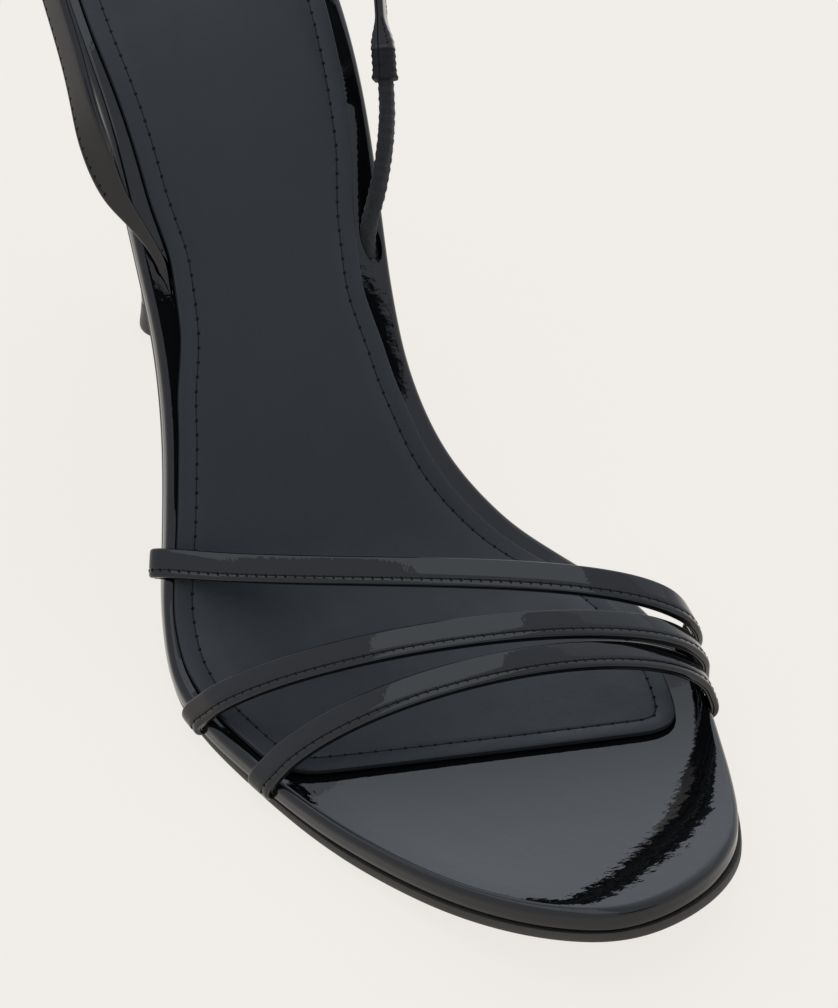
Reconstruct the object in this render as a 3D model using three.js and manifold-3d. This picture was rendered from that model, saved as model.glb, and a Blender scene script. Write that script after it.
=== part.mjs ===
// A right open-toe sandal with a high slim heel, three narrow straps over the forefoot and a slingback.
// Millimetres. +X points to the toe, +Y to the inner side of the foot, +Z up. The origin lies on the floor
// under the ball of the foot, in the middle of the flat tread.
import * as THREE from "three";
import { mergeVertices } from "three/addons/utils/BufferGeometryUtils.js";
import Module from "manifold-3d";

const wasm = await Module();
wasm.setup();

// Side profile of the last's bottom
const TOE_REACH = 70.1; // from the origin forward to the toe
const TOE_SPRING = 10.5; // height of the sole under the toe
const TREAD_LENGTH = 16; // flat part under the ball
const HEEL_REACH = 133.5; // from the origin back to the end of the seat
const HEEL_HEIGHT = 103; // floor to the underside of the seat at its back end
const SEAT_LENGTH = 48; // straight part that carries the heel of the foot
const SEAT_PITCH = 26; // degrees that the seat falls toward the toe
const TOE_HANDLE = 0.5; // shares of the curves' spans that their handles take
const ARCH_HANDLE = 0.32;
const SEAT_HANDLE = 0.36;

// Widths of the insole
const BALL_WIDTH = 82.4;
const WAIST_WIDTH = 44.3;
const SEAT_WIDTH = 49.4;

// Thicknesses, and the gap that the pieces keep
const CLEARANCE = 0.3;
const OUTSOLE_THICKNESS = 1.6;
const OUTSOLE_MARGIN = 1.3; // widest that the outsole stands out round the insole
const OUTSOLE_BEVEL = 0.4;
const INSOLE_THICKNESS = 3.6;
const INSOLE_ROUNDING = 2; // how far in the rounding of the insole's top edge reaches
const INSOLE_ROUNDED_HEIGHT = 1.3; // and how far down
const INSOLE_BEVEL = 0.5; // round its underside
const SOCK_THICKNESS = 0.8;
const SOCK_EDGE_ROUNDING = 0.24;
const SOCK_MARGIN = 4; // widest bare border of insole round the sock
const SOCK_CORNER = 6; // how far from its front corners the sock's edge starts to round

// Straps
const STRAP_WIDTH = 5;
const STRAP_THICKNESS = 1.5;
const STRAP_TUCK = 7; // length of strap end under the insole
const STRAP_SKIVE = 1; // thickness of that end
const STRAP_TURN = 1.2; // length of strap on each side of a fold that bends with it
const STRAP_BULGE = 1.6; // how far the rear strap stands off the insole's wall on the outer side
const SLING_WIDTH = 5.8;
const SLING_ROOT_WIDTH = 1.8; // where the strap, gathered, lies in its slot
const SLING_THICKNESS = 1.5;
const SLING_REACH = 73; // from the slots back to the rear of the loop
const SLING_RISE = 93; // from the slots up to the rear of the loop
const SLING_SPREAD = 60; // width of the loop at its widest
const SLING_END_LENGTH = 5.5; // sleeve at the strap's end, round the elastic
const SLING_END_WIDTH = 4.2;
const SLING_END_THICKNESS = 3.8;
const ELASTIC_WIDTH = 3.2;
const ELASTIC_ROOT_WIDTH = 2.6; // where it lies in its slot
const ELASTIC_THICKNESS = 2.6;
const ELASTIC_SEAT = 3; // length of elastic inside the sleeve

// Heel
const HEEL_SEAT_LENGTH = 46; // along the seat, from its back end to the breast
const HEEL_INSET = 0.5; // heel inside the insole's outline
const TOP_PIECE_HEIGHT = 6;
const TOP_PIECE_FLARE = 0.6; // how far the top piece stands out round the heel's tip at its foot
const HEEL_AXIS = -1.8; // sideways place of the heel's middle

// How finely the forms are divided
const SOLE_STATIONS = 60;
const HEEL_STEPS = 32;
const ARC_STEPS = 26;
const SLOT_FRAMES = 14; // frames at each end of the loop that cut its slots

const colour = (hex, roughness) => new THREE.MeshStandardMaterial({ color: hex, roughness, metalness: 0 });
const PATENT = () => colour(0x0c0e10, 0.08);
const NAPPA = () => colour(0x2e3235, 0.5);
const SOLE_LEATHER = () => colour(0x1b1614, 0.6);
const FABRIC = () => colour(0x15181a, 0.85);
const RUBBER = () => colour(0x141414, 0.55);

// Side profile: a polyline from the toe to the end of the seat, measured along its length
function buildProfile() {
  const half = TREAD_LENGTH / 2;
  const pitch = THREE.MathUtils.degToRad(SEAT_PITCH);
  const along = new THREE.Vector2(Math.cos(pitch), -Math.sin(pitch));
  const seatBack = new THREE.Vector2(-HEEL_REACH, HEEL_HEIGHT);
  const seatFront = seatBack.clone().addScaledVector(along, SEAT_LENGTH);
  const toe = new THREE.QuadraticBezierCurve(
    new THREE.Vector2(TOE_REACH, TOE_SPRING),
    new THREE.Vector2(half + (TOE_REACH - half) * TOE_HANDLE, 0),
    new THREE.Vector2(half, 0),
  );
  const tread = new THREE.LineCurve(new THREE.Vector2(half, 0), new THREE.Vector2(-half, 0));
  const archStart = new THREE.Vector2(-half, 0);
  const span = archStart.distanceTo(seatFront);
  const arch = new THREE.CubicBezierCurve(
    archStart,
    new THREE.Vector2(-half - span * ARCH_HANDLE, 0),
    seatFront.clone().addScaledVector(along, span * SEAT_HANDLE),
    seatFront,
  );
  const seat = new THREE.LineCurve(seatFront, seatBack);
  const points = [];
  for (const [curve, steps] of [[toe, 40], [tread, 4], [arch, 80], [seat, 16]]) {
    points.push(...curve.getPoints(steps).slice(points.length ? 1 : 0));
  }
  const lengths = [0];
  for (let i = 1; i < points.length; i++) {
    lengths.push(lengths[i - 1] + points[i].distanceTo(points[i - 1]));
  }
  const directions = points.map((p, i) => {
    const before = i > 0 ? p.clone().sub(points[i - 1]).normalize() : new THREE.Vector2();
    const after = i < points.length - 1 ? points[i + 1].clone().sub(p).normalize() : new THREE.Vector2();
    return before.add(after).normalize();
  });
  return { points, lengths, directions, length: lengths.at(-1) };
}

const profile = buildProfile();

// A point of the flat pattern, bent onto the profile: s runs from the toe along the sole, y is sideways
// and h is the height over the sole's underside
function bend(s, y, h) {
  const { points, lengths, directions } = profile;
  let i = 0;
  while (i < points.length - 2 && lengths[i + 1] <= s) i++;
  const w = (s - lengths[i]) / (lengths[i + 1] - lengths[i]);
  const p = points[i].clone().lerp(points[i + 1], w);
  const t = directions[i].clone().lerp(directions[i + 1], THREE.MathUtils.clamp(w, 0, 1)).normalize();
  return new THREE.Vector3(p.x + h * t.y, y, p.y - h * t.x);
}

// Outline of the insole: each row is a share of the profile's length, then the reach to the outer and to the
// inner side as shares of the width that the row follows
const OUTLINE = [
  { along: 0.003, outer: -0.003, inner: 0.035, of: BALL_WIDTH },
  { along: 0.007, outer: 0.056, inner: 0.097, of: BALL_WIDTH },
  { along: 0.018, outer: 0.107, inner: 0.175, of: BALL_WIDTH },
  { along: 0.037, outer: 0.166, inner: 0.25, of: BALL_WIDTH },
  { along: 0.062, outer: 0.223, inner: 0.305, of: BALL_WIDTH },
  { along: 0.09, outer: 0.273, inner: 0.349, of: BALL_WIDTH },
  { along: 0.132, outer: 0.332, inner: 0.404, of: BALL_WIDTH },
  { along: 0.185, outer: 0.394, inner: 0.463, of: BALL_WIDTH },
  { along: 0.246, outer: 0.449, inner: 0.494, of: BALL_WIDTH },
  { along: 0.307, outer: 0.494, inner: 0.476, of: BALL_WIDTH },
  { along: 0.355, outer: 0.502, inner: 0.417, of: BALL_WIDTH },
  { along: 0.411, outer: 0.472, inner: 0.316, of: BALL_WIDTH },
  { along: 0.472, outer: 0.774, inner: 0.431, of: WAIST_WIDTH },
  { along: 0.533, outer: 0.691, inner: 0.359, of: WAIST_WIDTH },
  { along: 0.593, outer: 0.646, inner: 0.354, of: WAIST_WIDTH },
  { along: 0.662, outer: 0.635, inner: 0.39, of: WAIST_WIDTH },
  { along: 0.735, outer: 0.62, inner: 0.44, of: WAIST_WIDTH },
  { along: 0.808, outer: 0.549, inner: 0.438, of: SEAT_WIDTH },
  { along: 0.873, outer: 0.518, inner: 0.478, of: SEAT_WIDTH },
  { along: 0.93, outer: 0.44, inner: 0.436, of: SEAT_WIDTH },
  { along: 0.968, outer: 0.312, inner: 0.324, of: SEAT_WIDTH },
  { along: 0.989, outer: 0.18, inner: 0.2, of: SEAT_WIDTH },
  { along: 1, outer: -0.01, inner: 0.01, of: SEAT_WIDTH },
];

// How far the outsole stands out round the insole, as shares of the widest margin; under the waist it
// stays in
const OUTSOLE_BORDER = [
  { along: 0, outer: 0.25, inner: 0.25 },
  { along: 0.015, outer: 0.15, inner: 0.5 },
  { along: 0.035, outer: 0.2, inner: 0.6 },
  { along: 0.06, outer: 0.25, inner: 0.4 },
  { along: 0.1, outer: 0.3, inner: 0.3 },
  { along: 0.16, outer: 0.25, inner: 0.1 },
  { along: 0.23, outer: 0, inner: -0.15 },
  { along: 0.31, outer: -0.3, inner: -0.35 },
  { along: 1, outer: -0.3, inner: -0.35 },
];

// Bare border between the insole's wall and the sock, as shares of the widest border
const SOCK_BORDER = [
  { along: 0.16, outer: 0.5, inner: 1.6 },
  { along: 0.25, outer: 0.55, inner: 1.35 },
  { along: 0.34, outer: 0.6, inner: 1.15 },
  { along: 0.41, outer: 0.35, inner: 1.05 },
  { along: 0.51, outer: 0.4, inner: 0.9 },
  { along: 0.56, outer: 0.5, inner: 1.1 },
  { along: 0.6, outer: 1, inner: 1.55 },
  { along: 0.65, outer: 1.25, inner: 1.5 },
  { along: 0.69, outer: 0.9, inner: 1.1 },
  { along: 0.8, outer: 0.65, inner: 0.85 },
  { along: 1, outer: 0.65, inner: 0.65 },
];
const SOCK_FRONT_OUTER = 0.232; // places of the sock's front corners along the profile
const SOCK_FRONT_INNER = 0.154;

// Value of a table's column between its rows
function column(rows, key, at) {
  const after = rows.findIndex((row) => row.along >= at);
  if (after === 0) return rows[0][key];
  if (after < 0) return rows.at(-1)[key];
  const [a, b] = [rows[after - 1], rows[after]];
  return THREE.MathUtils.lerp(a[key], b[key], (at - a.along) / (b.along - a.along));
}

// Closed outline of the insole as pattern points, from the toe along the outer side and back along the inner
function insoleOutline() {
  const outer = OUTLINE.map((r) => new THREE.Vector3(r.along * profile.length, -r.outer * r.of, 0));
  const inner = OUTLINE.map((r) => new THREE.Vector3(r.along * profile.length, r.inner * r.of, 0));
  const middle = (a, b) => a.clone().add(b).multiplyScalar(0.5);
  const points = [
    middle(outer[0], inner[0]),
    ...outer.slice(1, -1),
    middle(outer.at(-1), inner.at(-1)),
    ...inner.slice(1, -1).reverse(),
  ];
  const curve = new THREE.CatmullRomCurve3(points, true, "centripetal");
  return curve.getPoints(points.length * 8).slice(0, -1).map((p) => new THREE.Vector2(p.x, p.y));
}

// Inward direction at each point of a closed outline that runs as insoleOutline's does
function inwardNormals(outline) {
  return outline.map((p, i) => {
    const before = outline[(i + outline.length - 1) % outline.length];
    const after = outline[(i + 1) % outline.length];
    const t = after.clone().sub(before).normalize();
    return new THREE.Vector2(-t.y, t.x);
  });
}

function inset(outline, distance) {
  const normals = inwardNormals(outline);
  return outline.map((p, i) => p.clone().addScaledVector(normals[i], distance));
}

const insoleEdge = insoleOutline();

// Outline of the sock: the insole's, drawn in by the border, with a slanting front edge and round corners
function sockOutline() {
  const normals = inwardNormals(insoleEdge);
  const frontAt = { outer: SOCK_FRONT_OUTER * profile.length, inner: SOCK_FRONT_INNER * profile.length };
  const sides = insoleEdge.map((p, i) => {
    const side = p.y < HEEL_AXIS ? "outer" : "inner";
    const border = SOCK_MARGIN * column(SOCK_BORDER, side, p.x / profile.length);
    return { point: p.clone().addScaledVector(normals[i], border), side };
  });
  const keep = sides.filter(({ point, side }) => point.x > frontAt[side] + SOCK_CORNER).map((e) => e.point);
  const outerEnd = keep[0];
  const innerEnd = keep.at(-1);
  const corner = (end, next, at) => {
    const t = end.clone().sub(next).normalize();
    return end.clone().addScaledVector(t, (end.x - at) / Math.abs(t.x));
  };
  const outerCorner = corner(outerEnd, keep[1], frontAt.outer);
  const innerCorner = corner(innerEnd, keep.at(-2), frontAt.inner);
  const across = outerCorner.clone().sub(innerCorner).normalize();
  const frontInner = innerCorner.clone().addScaledVector(across, SOCK_CORNER);
  const frontOuter = outerCorner.clone().addScaledVector(across, -SOCK_CORNER);
  const innerRound = new THREE.QuadraticBezierCurve(innerEnd, innerCorner, frontInner).getPoints(6);
  const outerRound = new THREE.QuadraticBezierCurve(frontOuter, outerCorner, outerEnd).getPoints(6);
  return [...innerRound.slice(1), ...outerRound.slice(0, -1), ...keep];
}

// Sideways places of a closed outline at a station, on its outer and inner side
function sideways(outline) {
  const first = outline.reduce((best, p, i) => (p.x < outline[best].x ? i : best), 0);
  const turned = [...outline.slice(first), ...outline.slice(0, first)];
  const last = turned.reduce((best, p, i) => (p.x > turned[best].x ? i : best), 0);
  const outer = turned.slice(0, last + 1);
  const inner = [turned[0], ...turned.slice(last).reverse()];
  const at = (side, s) => {
    let i = 0;
    while (i < side.length - 2 && side[i + 1].x <= s) i++;
    const w = (s - side[i].x) / Math.max(side[i + 1].x - side[i].x, 1e-9);
    return THREE.MathUtils.lerp(side[i].y, side[i + 1].y, THREE.MathUtils.clamp(w, 0, 1));
  };
  return { from: turned[0].x, to: turned[last].x, outer: (s) => at(outer, s), inner: (s) => at(inner, s) };
}

// Closed geometry from positions and triangles, without the triangles that fall flat
function solid(positions, triangles) {
  const raw = new THREE.BufferGeometry();
  const numbers = positions.flatMap((p) => [p.x, p.y, p.z]);
  raw.setAttribute("position", new THREE.Float32BufferAttribute(numbers, 3));
  raw.setIndex(triangles.flat());
  const merged = mergeVertices(raw, 1e-3);
  const index = [...merged.index.array];
  const kept = [];
  for (let i = 0; i < index.length; i += 3) {
    const [a, b, c] = index.slice(i, i + 3);
    if (a !== b && b !== c && c !== a) kept.push(a, b, c);
  }
  merged.setIndex(kept);
  return merged;
}

// Skin over rings of equal length, closed at both ends by the given triangles of a ring
function skin(rings, cap) {
  const n = rings[0].length;
  const triangles = [];
  for (let r = 0; r < rings.length - 1; r++) {
    for (let i = 0; i < n; i++) {
      const j = (i + 1) % n;
      const [a, b, c, d] = [r * n + i, r * n + j, (r + 1) * n + j, (r + 1) * n + i];
      triangles.push([a, b, c], [a, c, d]);
    }
  }
  const top = (rings.length - 1) * n;
  for (const [a, b, c] of cap) triangles.push([a, c, b], [top + a, top + b, top + c]);
  return solid(rings.flat(), triangles);
}

// A plate of the sole: rings of the outline, each drawn in and lifted as its layer says, from the
// underside up
function plate(outline, layers, backEnd = Infinity) {
  const rings = layers.map(({ draw, h }) => {
    const edge = sideways(inset(outline, draw));
    const to = Math.min(edge.to, backEnd);
    const stations = [];
    for (let k = 0; k <= SOLE_STATIONS; k++) {
      const share = (1 - Math.cos((Math.PI * k) / SOLE_STATIONS)) / 2;
      stations.push(edge.from + (to - edge.from) * share);
    }
    const outer = stations.map((s) => bend(s, edge.outer(s), h));
    const inner = stations.map((s) => bend(s, edge.inner(s), h));
    return [...inner, ...outer.reverse()];
  });
  const last = rings[0].length - 1;
  const cap = [];
  for (let k = 0; k < SOLE_STATIONS; k++) {
    cap.push([k, k + 1, last - k - 1], [k, last - k - 1, last - k]);
  }
  return skin(rings, cap);
}

// Heights over the sole's underside
const INSOLE_BOTTOM = OUTSOLE_THICKNESS + CLEARANCE;
const INSOLE_TOP = INSOLE_BOTTOM + INSOLE_THICKNESS;
const SOCK_BOTTOM = INSOLE_TOP + CLEARANCE;
const SOCK_TOP = SOCK_BOTTOM + SOCK_THICKNESS;
const breastAt = profile.length - HEEL_SEAT_LENGTH;

function outsole() {
  const normals = inwardNormals(insoleEdge);
  const outline = insoleEdge.map((p, i) => {
    const side = p.y < HEEL_AXIS ? "outer" : "inner";
    const margin = OUTSOLE_MARGIN * column(OUTSOLE_BORDER, side, p.x / profile.length);
    return p.clone().addScaledVector(normals[i], -margin);
  });
  const layers = [
    { draw: OUTSOLE_BEVEL, h: 0 },
    { draw: 0, h: OUTSOLE_THICKNESS / 2 },
    { draw: 0, h: OUTSOLE_THICKNESS },
  ];
  return plate(outline, layers, breastAt - CLEARANCE);
}

// The rounding of an edge: share of its reach that each layer is drawn in, and share of its height
const ROUNDED_EDGE = [
  { draw: 0, rise: 0 },
  { draw: 0.17, rise: 0.58 },
  { draw: 0.5, rise: 0.88 },
  { draw: 1, rise: 1 },
];

function insoleBoard() {
  const wallTop = INSOLE_TOP - INSOLE_ROUNDED_HEIGHT;
  const rounded = ({ draw, rise }) => ({
    draw: draw * INSOLE_ROUNDING,
    h: wallTop + rise * INSOLE_ROUNDED_HEIGHT,
  });
  return plate(insoleEdge, [
    { draw: INSOLE_BEVEL, h: INSOLE_BOTTOM },
    { draw: 0, h: INSOLE_BOTTOM + INSOLE_BEVEL },
    ...ROUNDED_EDGE.map(rounded),
  ]);
}

function sock() {
  return plate(sockOutline(), [
    { draw: 0, h: SOCK_BOTTOM },
    { draw: 0, h: SOCK_TOP - SOCK_EDGE_ROUNDING },
    { draw: SOCK_EDGE_ROUNDING, h: SOCK_TOP },
  ]);
}

// Share of a band's thickness that is cut off its corners
const BAND_CORNER = 0.3;

// A band swept along its frames: each frame has its place, the direction of its width, and its width and
// thickness. The section is a rectangle with cut corners
function sweep(frames) {
  const rings = frames.map(({ place, across, width, thickness }, i) => {
    const before = frames[Math.max(i - 1, 0)].place;
    const after = frames[Math.min(i + 1, frames.length - 1)].place;
    const t = after.clone().sub(before).normalize();
    const w = across.clone().addScaledVector(t, -across.dot(t)).normalize();
    const n = new THREE.Vector3().crossVectors(t, w);
    const cut = Math.min(width, thickness) * BAND_CORNER;
    const [a, b] = [width / 2, thickness / 2];
    const section = [
      [a, cut - b], [a, b - cut], [a - cut, b], [cut - a, b],
      [-a, b - cut], [-a, cut - b], [cut - a, -b], [a - cut, -b],
    ];
    return section.map(([u, v]) => place.clone().addScaledVector(w, u).addScaledVector(n, v));
  });
  const cap = [];
  for (let i = 1; i < rings[0].length - 1; i++) cap.push([0, i, i + 1]);
  return skin(rings, cap);
}

// The same band with room round it, for the pocket or slot that it lies in
function roomFor(frames) {
  const grown = frames.map((f) => ({
    ...f,
    place: f.place.clone(),
    width: f.width + 2 * CLEARANCE,
    thickness: f.thickness + 2 * CLEARANCE,
  }));
  const ends = [[0, 1], [grown.length - 1, grown.length - 2]];
  for (const [end, next] of ends) {
    const out = frames[end].place.clone().sub(frames[next].place).normalize();
    grown[end].place.addScaledVector(out, CLEARANCE);
  }
  return sweep(grown);
}

// Replaces each corner of a path that turns by more than the sharpness, in radians, by a short curve
function roundCorners(path, reach, sharpness = 0.2) {
  const rounded = [path[0]];
  for (let i = 1; i < path.length - 1; i++) {
    const [before, here, after] = [path[i - 1], path[i], path[i + 1]];
    const inDirection = here.place.clone().sub(before.place).normalize();
    const outDirection = after.place.clone().sub(here.place).normalize();
    if (inDirection.angleTo(outDirection) < sharpness) {
      rounded.push(here);
      continue;
    }
    const start = here.place.clone().addScaledVector(inDirection, -reach);
    const end = here.place.clone().addScaledVector(outDirection, reach);
    const curve = new THREE.QuadraticBezierCurve3(start, here.place, end);
    for (const place of curve.getPoints(4)) rounded.push({ ...here, place });
  }
  return [...rounded, path.at(-1)];
}

// Forefoot straps: the places of their feet along the profile, the two handles of their arc (rise and reach
// over the foot, shares of the ball width), how far the arc leans to the toe and how far the strap's width
// dips to the toe on top (degrees), and the share of the arc over which it turns to that dip
const STRAPS = {
  rear: {
    outerAt: 0.4457, innerAt: 0.2303,
    outerRise: 0.061, outerReach: 0.425, innerRise: 0.461, innerReach: 0.006,
    lean: 22, dip: 28, turn: 0.22, lowStart: true,
  },
  middle: {
    outerAt: 0.3152, innerAt: 0.2058,
    outerRise: 0.272, outerReach: 0.115, innerRise: 0.392, innerReach: 0.023,
    lean: 17, dip: 18.5, turn: 0.29, lowStart: false,
  },
  front: {
    outerAt: 0.2414, innerAt: 0.181,
    outerRise: 0.283, outerReach: 0.155, innerRise: 0.279, innerReach: 0.063,
    lean: 4.3, dip: 18, turn: 0.3, lowStart: false,
  },
};

// Place, outward direction and edge direction of the insole's wall at a station, on one side
function wallAt(s, side) {
  const edge = sideways(insoleEdge);
  const reach = side < 0 ? edge.outer : edge.inner;
  const step = 1;
  const along = new THREE.Vector2(2 * step, reach(s + step) - reach(s - step)).normalize();
  const out = side < 0 ? new THREE.Vector2(along.y, -along.x) : new THREE.Vector2(-along.y, along.x);
  return { s, y: reach(s), along, out };
}

const bendBy = (wall, distance, h) => bend(wall.s + wall.out.x * distance, wall.y + wall.out.y * distance, h);

// Where a strap leaves the insole's wall, as a share of the rounded edge's height below the top
const STRAP_LEAVES_AT = 0.7;

// Distance of a strap's middle from the insole's wall
const STRAP_OUTSIDE = CLEARANCE + STRAP_THICKNESS / 2 + 0.05;

// One foot of a strap, from its end under the insole to where it leaves the wall. A foot that bulges stands
// off the wall before it turns in over the edge
function strapFoot(wall, topHeight, bulge = 0) {
  const outside = STRAP_OUTSIDE;
  const low = INSOLE_BOTTOM + STRAP_SKIVE / 2;
  const toToe = bend(wall.s - wall.along.x, wall.y - wall.along.y, low).sub(bend(wall.s, wall.y, low));
  const at = (distance, h, thickness) => ({
    place: bendBy(wall, distance, h), across: toToe, width: STRAP_WIDTH, thickness,
  });
  return [
    at(-STRAP_TUCK, low, STRAP_SKIVE),
    at(-STRAP_TUCK / 2, low, STRAP_SKIVE),
    at(outside, low + (STRAP_THICKNESS - STRAP_SKIVE) / 2, STRAP_THICKNESS),
    ...(bulge > 0 ? [at(outside + bulge, (low + topHeight) / 2 + bulge / 2, STRAP_THICKNESS)] : []),
    at(outside, topHeight, STRAP_THICKNESS),
  ];
}

function forefootStrap(strap) {
  const onWall = INSOLE_TOP - INSOLE_ROUNDED_HEIGHT * STRAP_LEAVES_AT;
  const overEdge = SOCK_TOP + STRAP_OUTSIDE;
  const outerWall = wallAt(strap.outerAt * profile.length, -1);
  const outerFoot = strap.lowStart
    ? strapFoot(outerWall, overEdge, STRAP_BULGE)
    : strapFoot(outerWall, onWall);
  const innerFoot = strapFoot(wallAt(strap.innerAt * profile.length, 1), onWall);
  const start = outerFoot.at(-1).place;
  const end = innerFoot.at(-1).place;
  const lean = THREE.MathUtils.degToRad(strap.lean);
  const up = new THREE.Vector3(Math.sin(lean), 0, Math.cos(lean));
  const over = end.clone().sub(start).normalize();
  const handle = (from, rise, reach) =>
    from.clone().addScaledVector(up, rise * BALL_WIDTH).addScaledVector(over, reach * BALL_WIDTH);
  const arc = new THREE.CubicBezierCurve3(
    start,
    handle(start, strap.outerRise, strap.outerReach),
    handle(end, strap.innerRise, -strap.innerReach),
    end,
  );
  const dip = THREE.MathUtils.degToRad(strap.dip);
  const crown = new THREE.Vector3(Math.cos(dip), 0, -Math.sin(dip));
  const outerAcross = outerFoot[0].across.clone().normalize();
  const innerAcross = innerFoot[0].across.clone().normalize();
  const frames = [];
  for (let k = 2; k <= ARC_STEPS - 2; k++) {
    const u = k / ARC_STEPS;
    const fromOuter = Math.max(1 - u / strap.turn, 0);
    const fromInner = Math.max(1 - (1 - u) / strap.turn, 0);
    const across = crown.clone().multiplyScalar(1 - fromOuter - fromInner)
      .addScaledVector(outerAcross, fromOuter)
      .addScaledVector(innerAcross, fromInner);
    frames.push({ place: arc.getPoint(u), across, width: STRAP_WIDTH, thickness: STRAP_THICKNESS });
  }
  const tucks = [outerFoot.slice(0, 3), innerFoot.slice(0, 3)];
  return { path: roundCorners([...outerFoot, ...frames, ...innerFoot.reverse()], STRAP_TURN), tucks };
}

// The slingback's loop, from the outer slot round the ankle to the inner slot: reach and rise as shares of
// the loop's, and the sideways place as a share of half its spread
const LOOP = [
  { reach: -0.05, rise: -0.092, side: -0.69 },
  { reach: -0.01, rise: -0.035, side: -0.693 },
  { reach: 0.008, rise: 0.009, side: -0.708 },
  { reach: 0.02, rise: 0.055, side: -0.762 },
  { reach: 0.033, rise: 0.104, side: -0.84 },
  { reach: 0.055, rise: 0.16, side: -0.93 },
  { reach: 0.107, rise: 0.255, side: -0.99 },
  { reach: 0.2, rise: 0.375, side: -1 },
  { reach: 0.45, rise: 0.585, side: -1 },
  { reach: 0.7, rise: 0.785, side: -0.92 },
  { reach: 0.88, rise: 0.923, side: -0.72 },
  { reach: 0.973, rise: 0.985, side: -0.4 },
  { reach: 1, rise: 1, side: 0 },
  { reach: 0.973, rise: 0.985, side: 0.4 },
  { reach: 0.88, rise: 0.923, side: 0.72 },
  { reach: 0.7, rise: 0.785, side: 0.915 },
  { reach: 0.45, rise: 0.565, side: 0.983 },
  { reach: 0.28, rise: 0.39, side: 0.924 },
  { reach: 0.151, rise: 0.248, side: 0.833 },
  { reach: 0.096, rise: 0.19, side: 0.787 },
  { reach: 0.055, rise: 0.143, side: 0.733 },
  { reach: 0.027, rise: 0.1, side: 0.68 },
  { reach: 0.006, rise: 0.054, side: 0.624 },
  { reach: -0.003, rise: 0.012, side: 0.575 },
  { reach: -0.012, rise: -0.02, side: 0.55 },
  { reach: -0.024, rise: -0.067, side: 0.541 },
];
const LOOP_AXIS = -3.5; // sideways place of the loop's middle
const SLOT_AT = 0.6426; // place of the slots along the profile
const SLING_END = 0.89; // share of the loop where the strap ends and the elastic starts
const SLING_LEAN = 10; // degrees that the strap's top edge leans in
const SLING_FREE = 0.13; // share of the loop by which the strap has its full width

function loopCurve() {
  const slot = bend(SLOT_AT * profile.length, 0, INSOLE_TOP);
  const points = LOOP.map((row) => new THREE.Vector3(
    slot.x - row.reach * SLING_REACH,
    LOOP_AXIS + (row.side * SLING_SPREAD) / 2,
    slot.z + row.rise * SLING_RISE,
  ));
  return new THREE.CatmullRomCurve3(points, false, "centripetal");
}

// Frames along a stretch of the loop: the width stands up and its top edge leans to the middle of the loop
function loopFrames(from, to, steps, sizeAt) {
  const curve = loopCurve();
  const lean = THREE.MathUtils.degToRad(SLING_LEAN);
  const frames = [];
  for (let k = 0; k <= steps; k++) {
    const share = from + ((to - from) * k) / steps;
    const place = curve.getPointAt(share);
    const t = curve.getTangentAt(share);
    const inward = new THREE.Vector3(-t.y, t.x, 0).normalize().negate();
    const across = new THREE.Vector3(0, 0, Math.cos(lean)).addScaledVector(inward, Math.sin(lean));
    frames.push({ place, across, ...sizeAt(share) });
  }
  return frames;
}

const smooth = (value, low, high) => THREE.MathUtils.smoothstep(value, low, high);

function slingFrames() {
  const length = loopCurve().getLength();
  const sleeve = SLING_END_LENGTH / length;
  return loopFrames(0, SLING_END, 72, (share) => {
    const root = smooth(share, SLING_FREE / 3, SLING_FREE);
    const end = smooth(share, SLING_END - 2 * sleeve, SLING_END - sleeve);
    const width = THREE.MathUtils.lerp(SLING_ROOT_WIDTH, SLING_WIDTH, root);
    return {
      width: THREE.MathUtils.lerp(width, SLING_END_WIDTH, end),
      thickness: THREE.MathUtils.lerp(SLING_THICKNESS, SLING_END_THICKNESS, end),
    };
  });
}

function elasticFrames() {
  const length = loopCurve().getLength();
  return loopFrames(SLING_END - ELASTIC_SEAT / length, 1, 26, (share) => ({
    width: THREE.MathUtils.lerp(ELASTIC_WIDTH, ELASTIC_ROOT_WIDTH, smooth(share, 1 - SLING_FREE, 1)),
    thickness: ELASTIC_THICKNESS,
  }));
}

// Booleans
function toManifold(geometry) {
  return new wasm.Manifold(new wasm.Mesh({
    numProp: 3,
    vertProperties: new Float32Array(geometry.attributes.position.array),
    triVerts: new Uint32Array(geometry.index.array),
  }));
}

function cutOut(geometry, tools) {
  let body = toManifold(geometry);
  for (const tool of tools) body = body.subtract(toManifold(tool));
  const mesh = body.getMesh();
  const result = new THREE.BufferGeometry();
  result.setAttribute("position", new THREE.Float32BufferAttribute(mesh.vertProperties, 3));
  result.setIndex([...mesh.triVerts]);
  return result;
}

// Sections of the heel below the seat: back and front points as a reach forward from the seat's back end
// (shares of the seat's length) and a height (shares of the heel's), the width as a share of the seat's, and
// how round the section is
const HEEL_ROWS = [
  { back: 0.018, backZ: 0.955, front: 0.8, frontZ: 0.772, width: 0.91, round: 0.05 },
  { back: 0.036, backZ: 0.893, front: 0.69, frontZ: 0.705, width: 0.79, round: 0.12 },
  { back: 0.057, backZ: 0.815, front: 0.58, frontZ: 0.63, width: 0.64, round: 0.22 },
  { back: 0.08, backZ: 0.72, front: 0.488, frontZ: 0.54, width: 0.485, round: 0.35 },
  { back: 0.104, backZ: 0.605, front: 0.42, frontZ: 0.45, width: 0.36, round: 0.5 },
  { back: 0.128, backZ: 0.47, front: 0.378, frontZ: 0.35, width: 0.27, round: 0.6 },
  { back: 0.146, backZ: 0.33, front: 0.357, frontZ: 0.255, width: 0.215, round: 0.7 },
  { back: 0.157, backZ: 0.195, front: 0.348, frontZ: 0.155, width: 0.18, round: 0.8 },
  { back: 0.162, backZ: 0.11, front: 0.345, frontZ: 0.095, width: 0.168, round: 0.85 },
];
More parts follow.
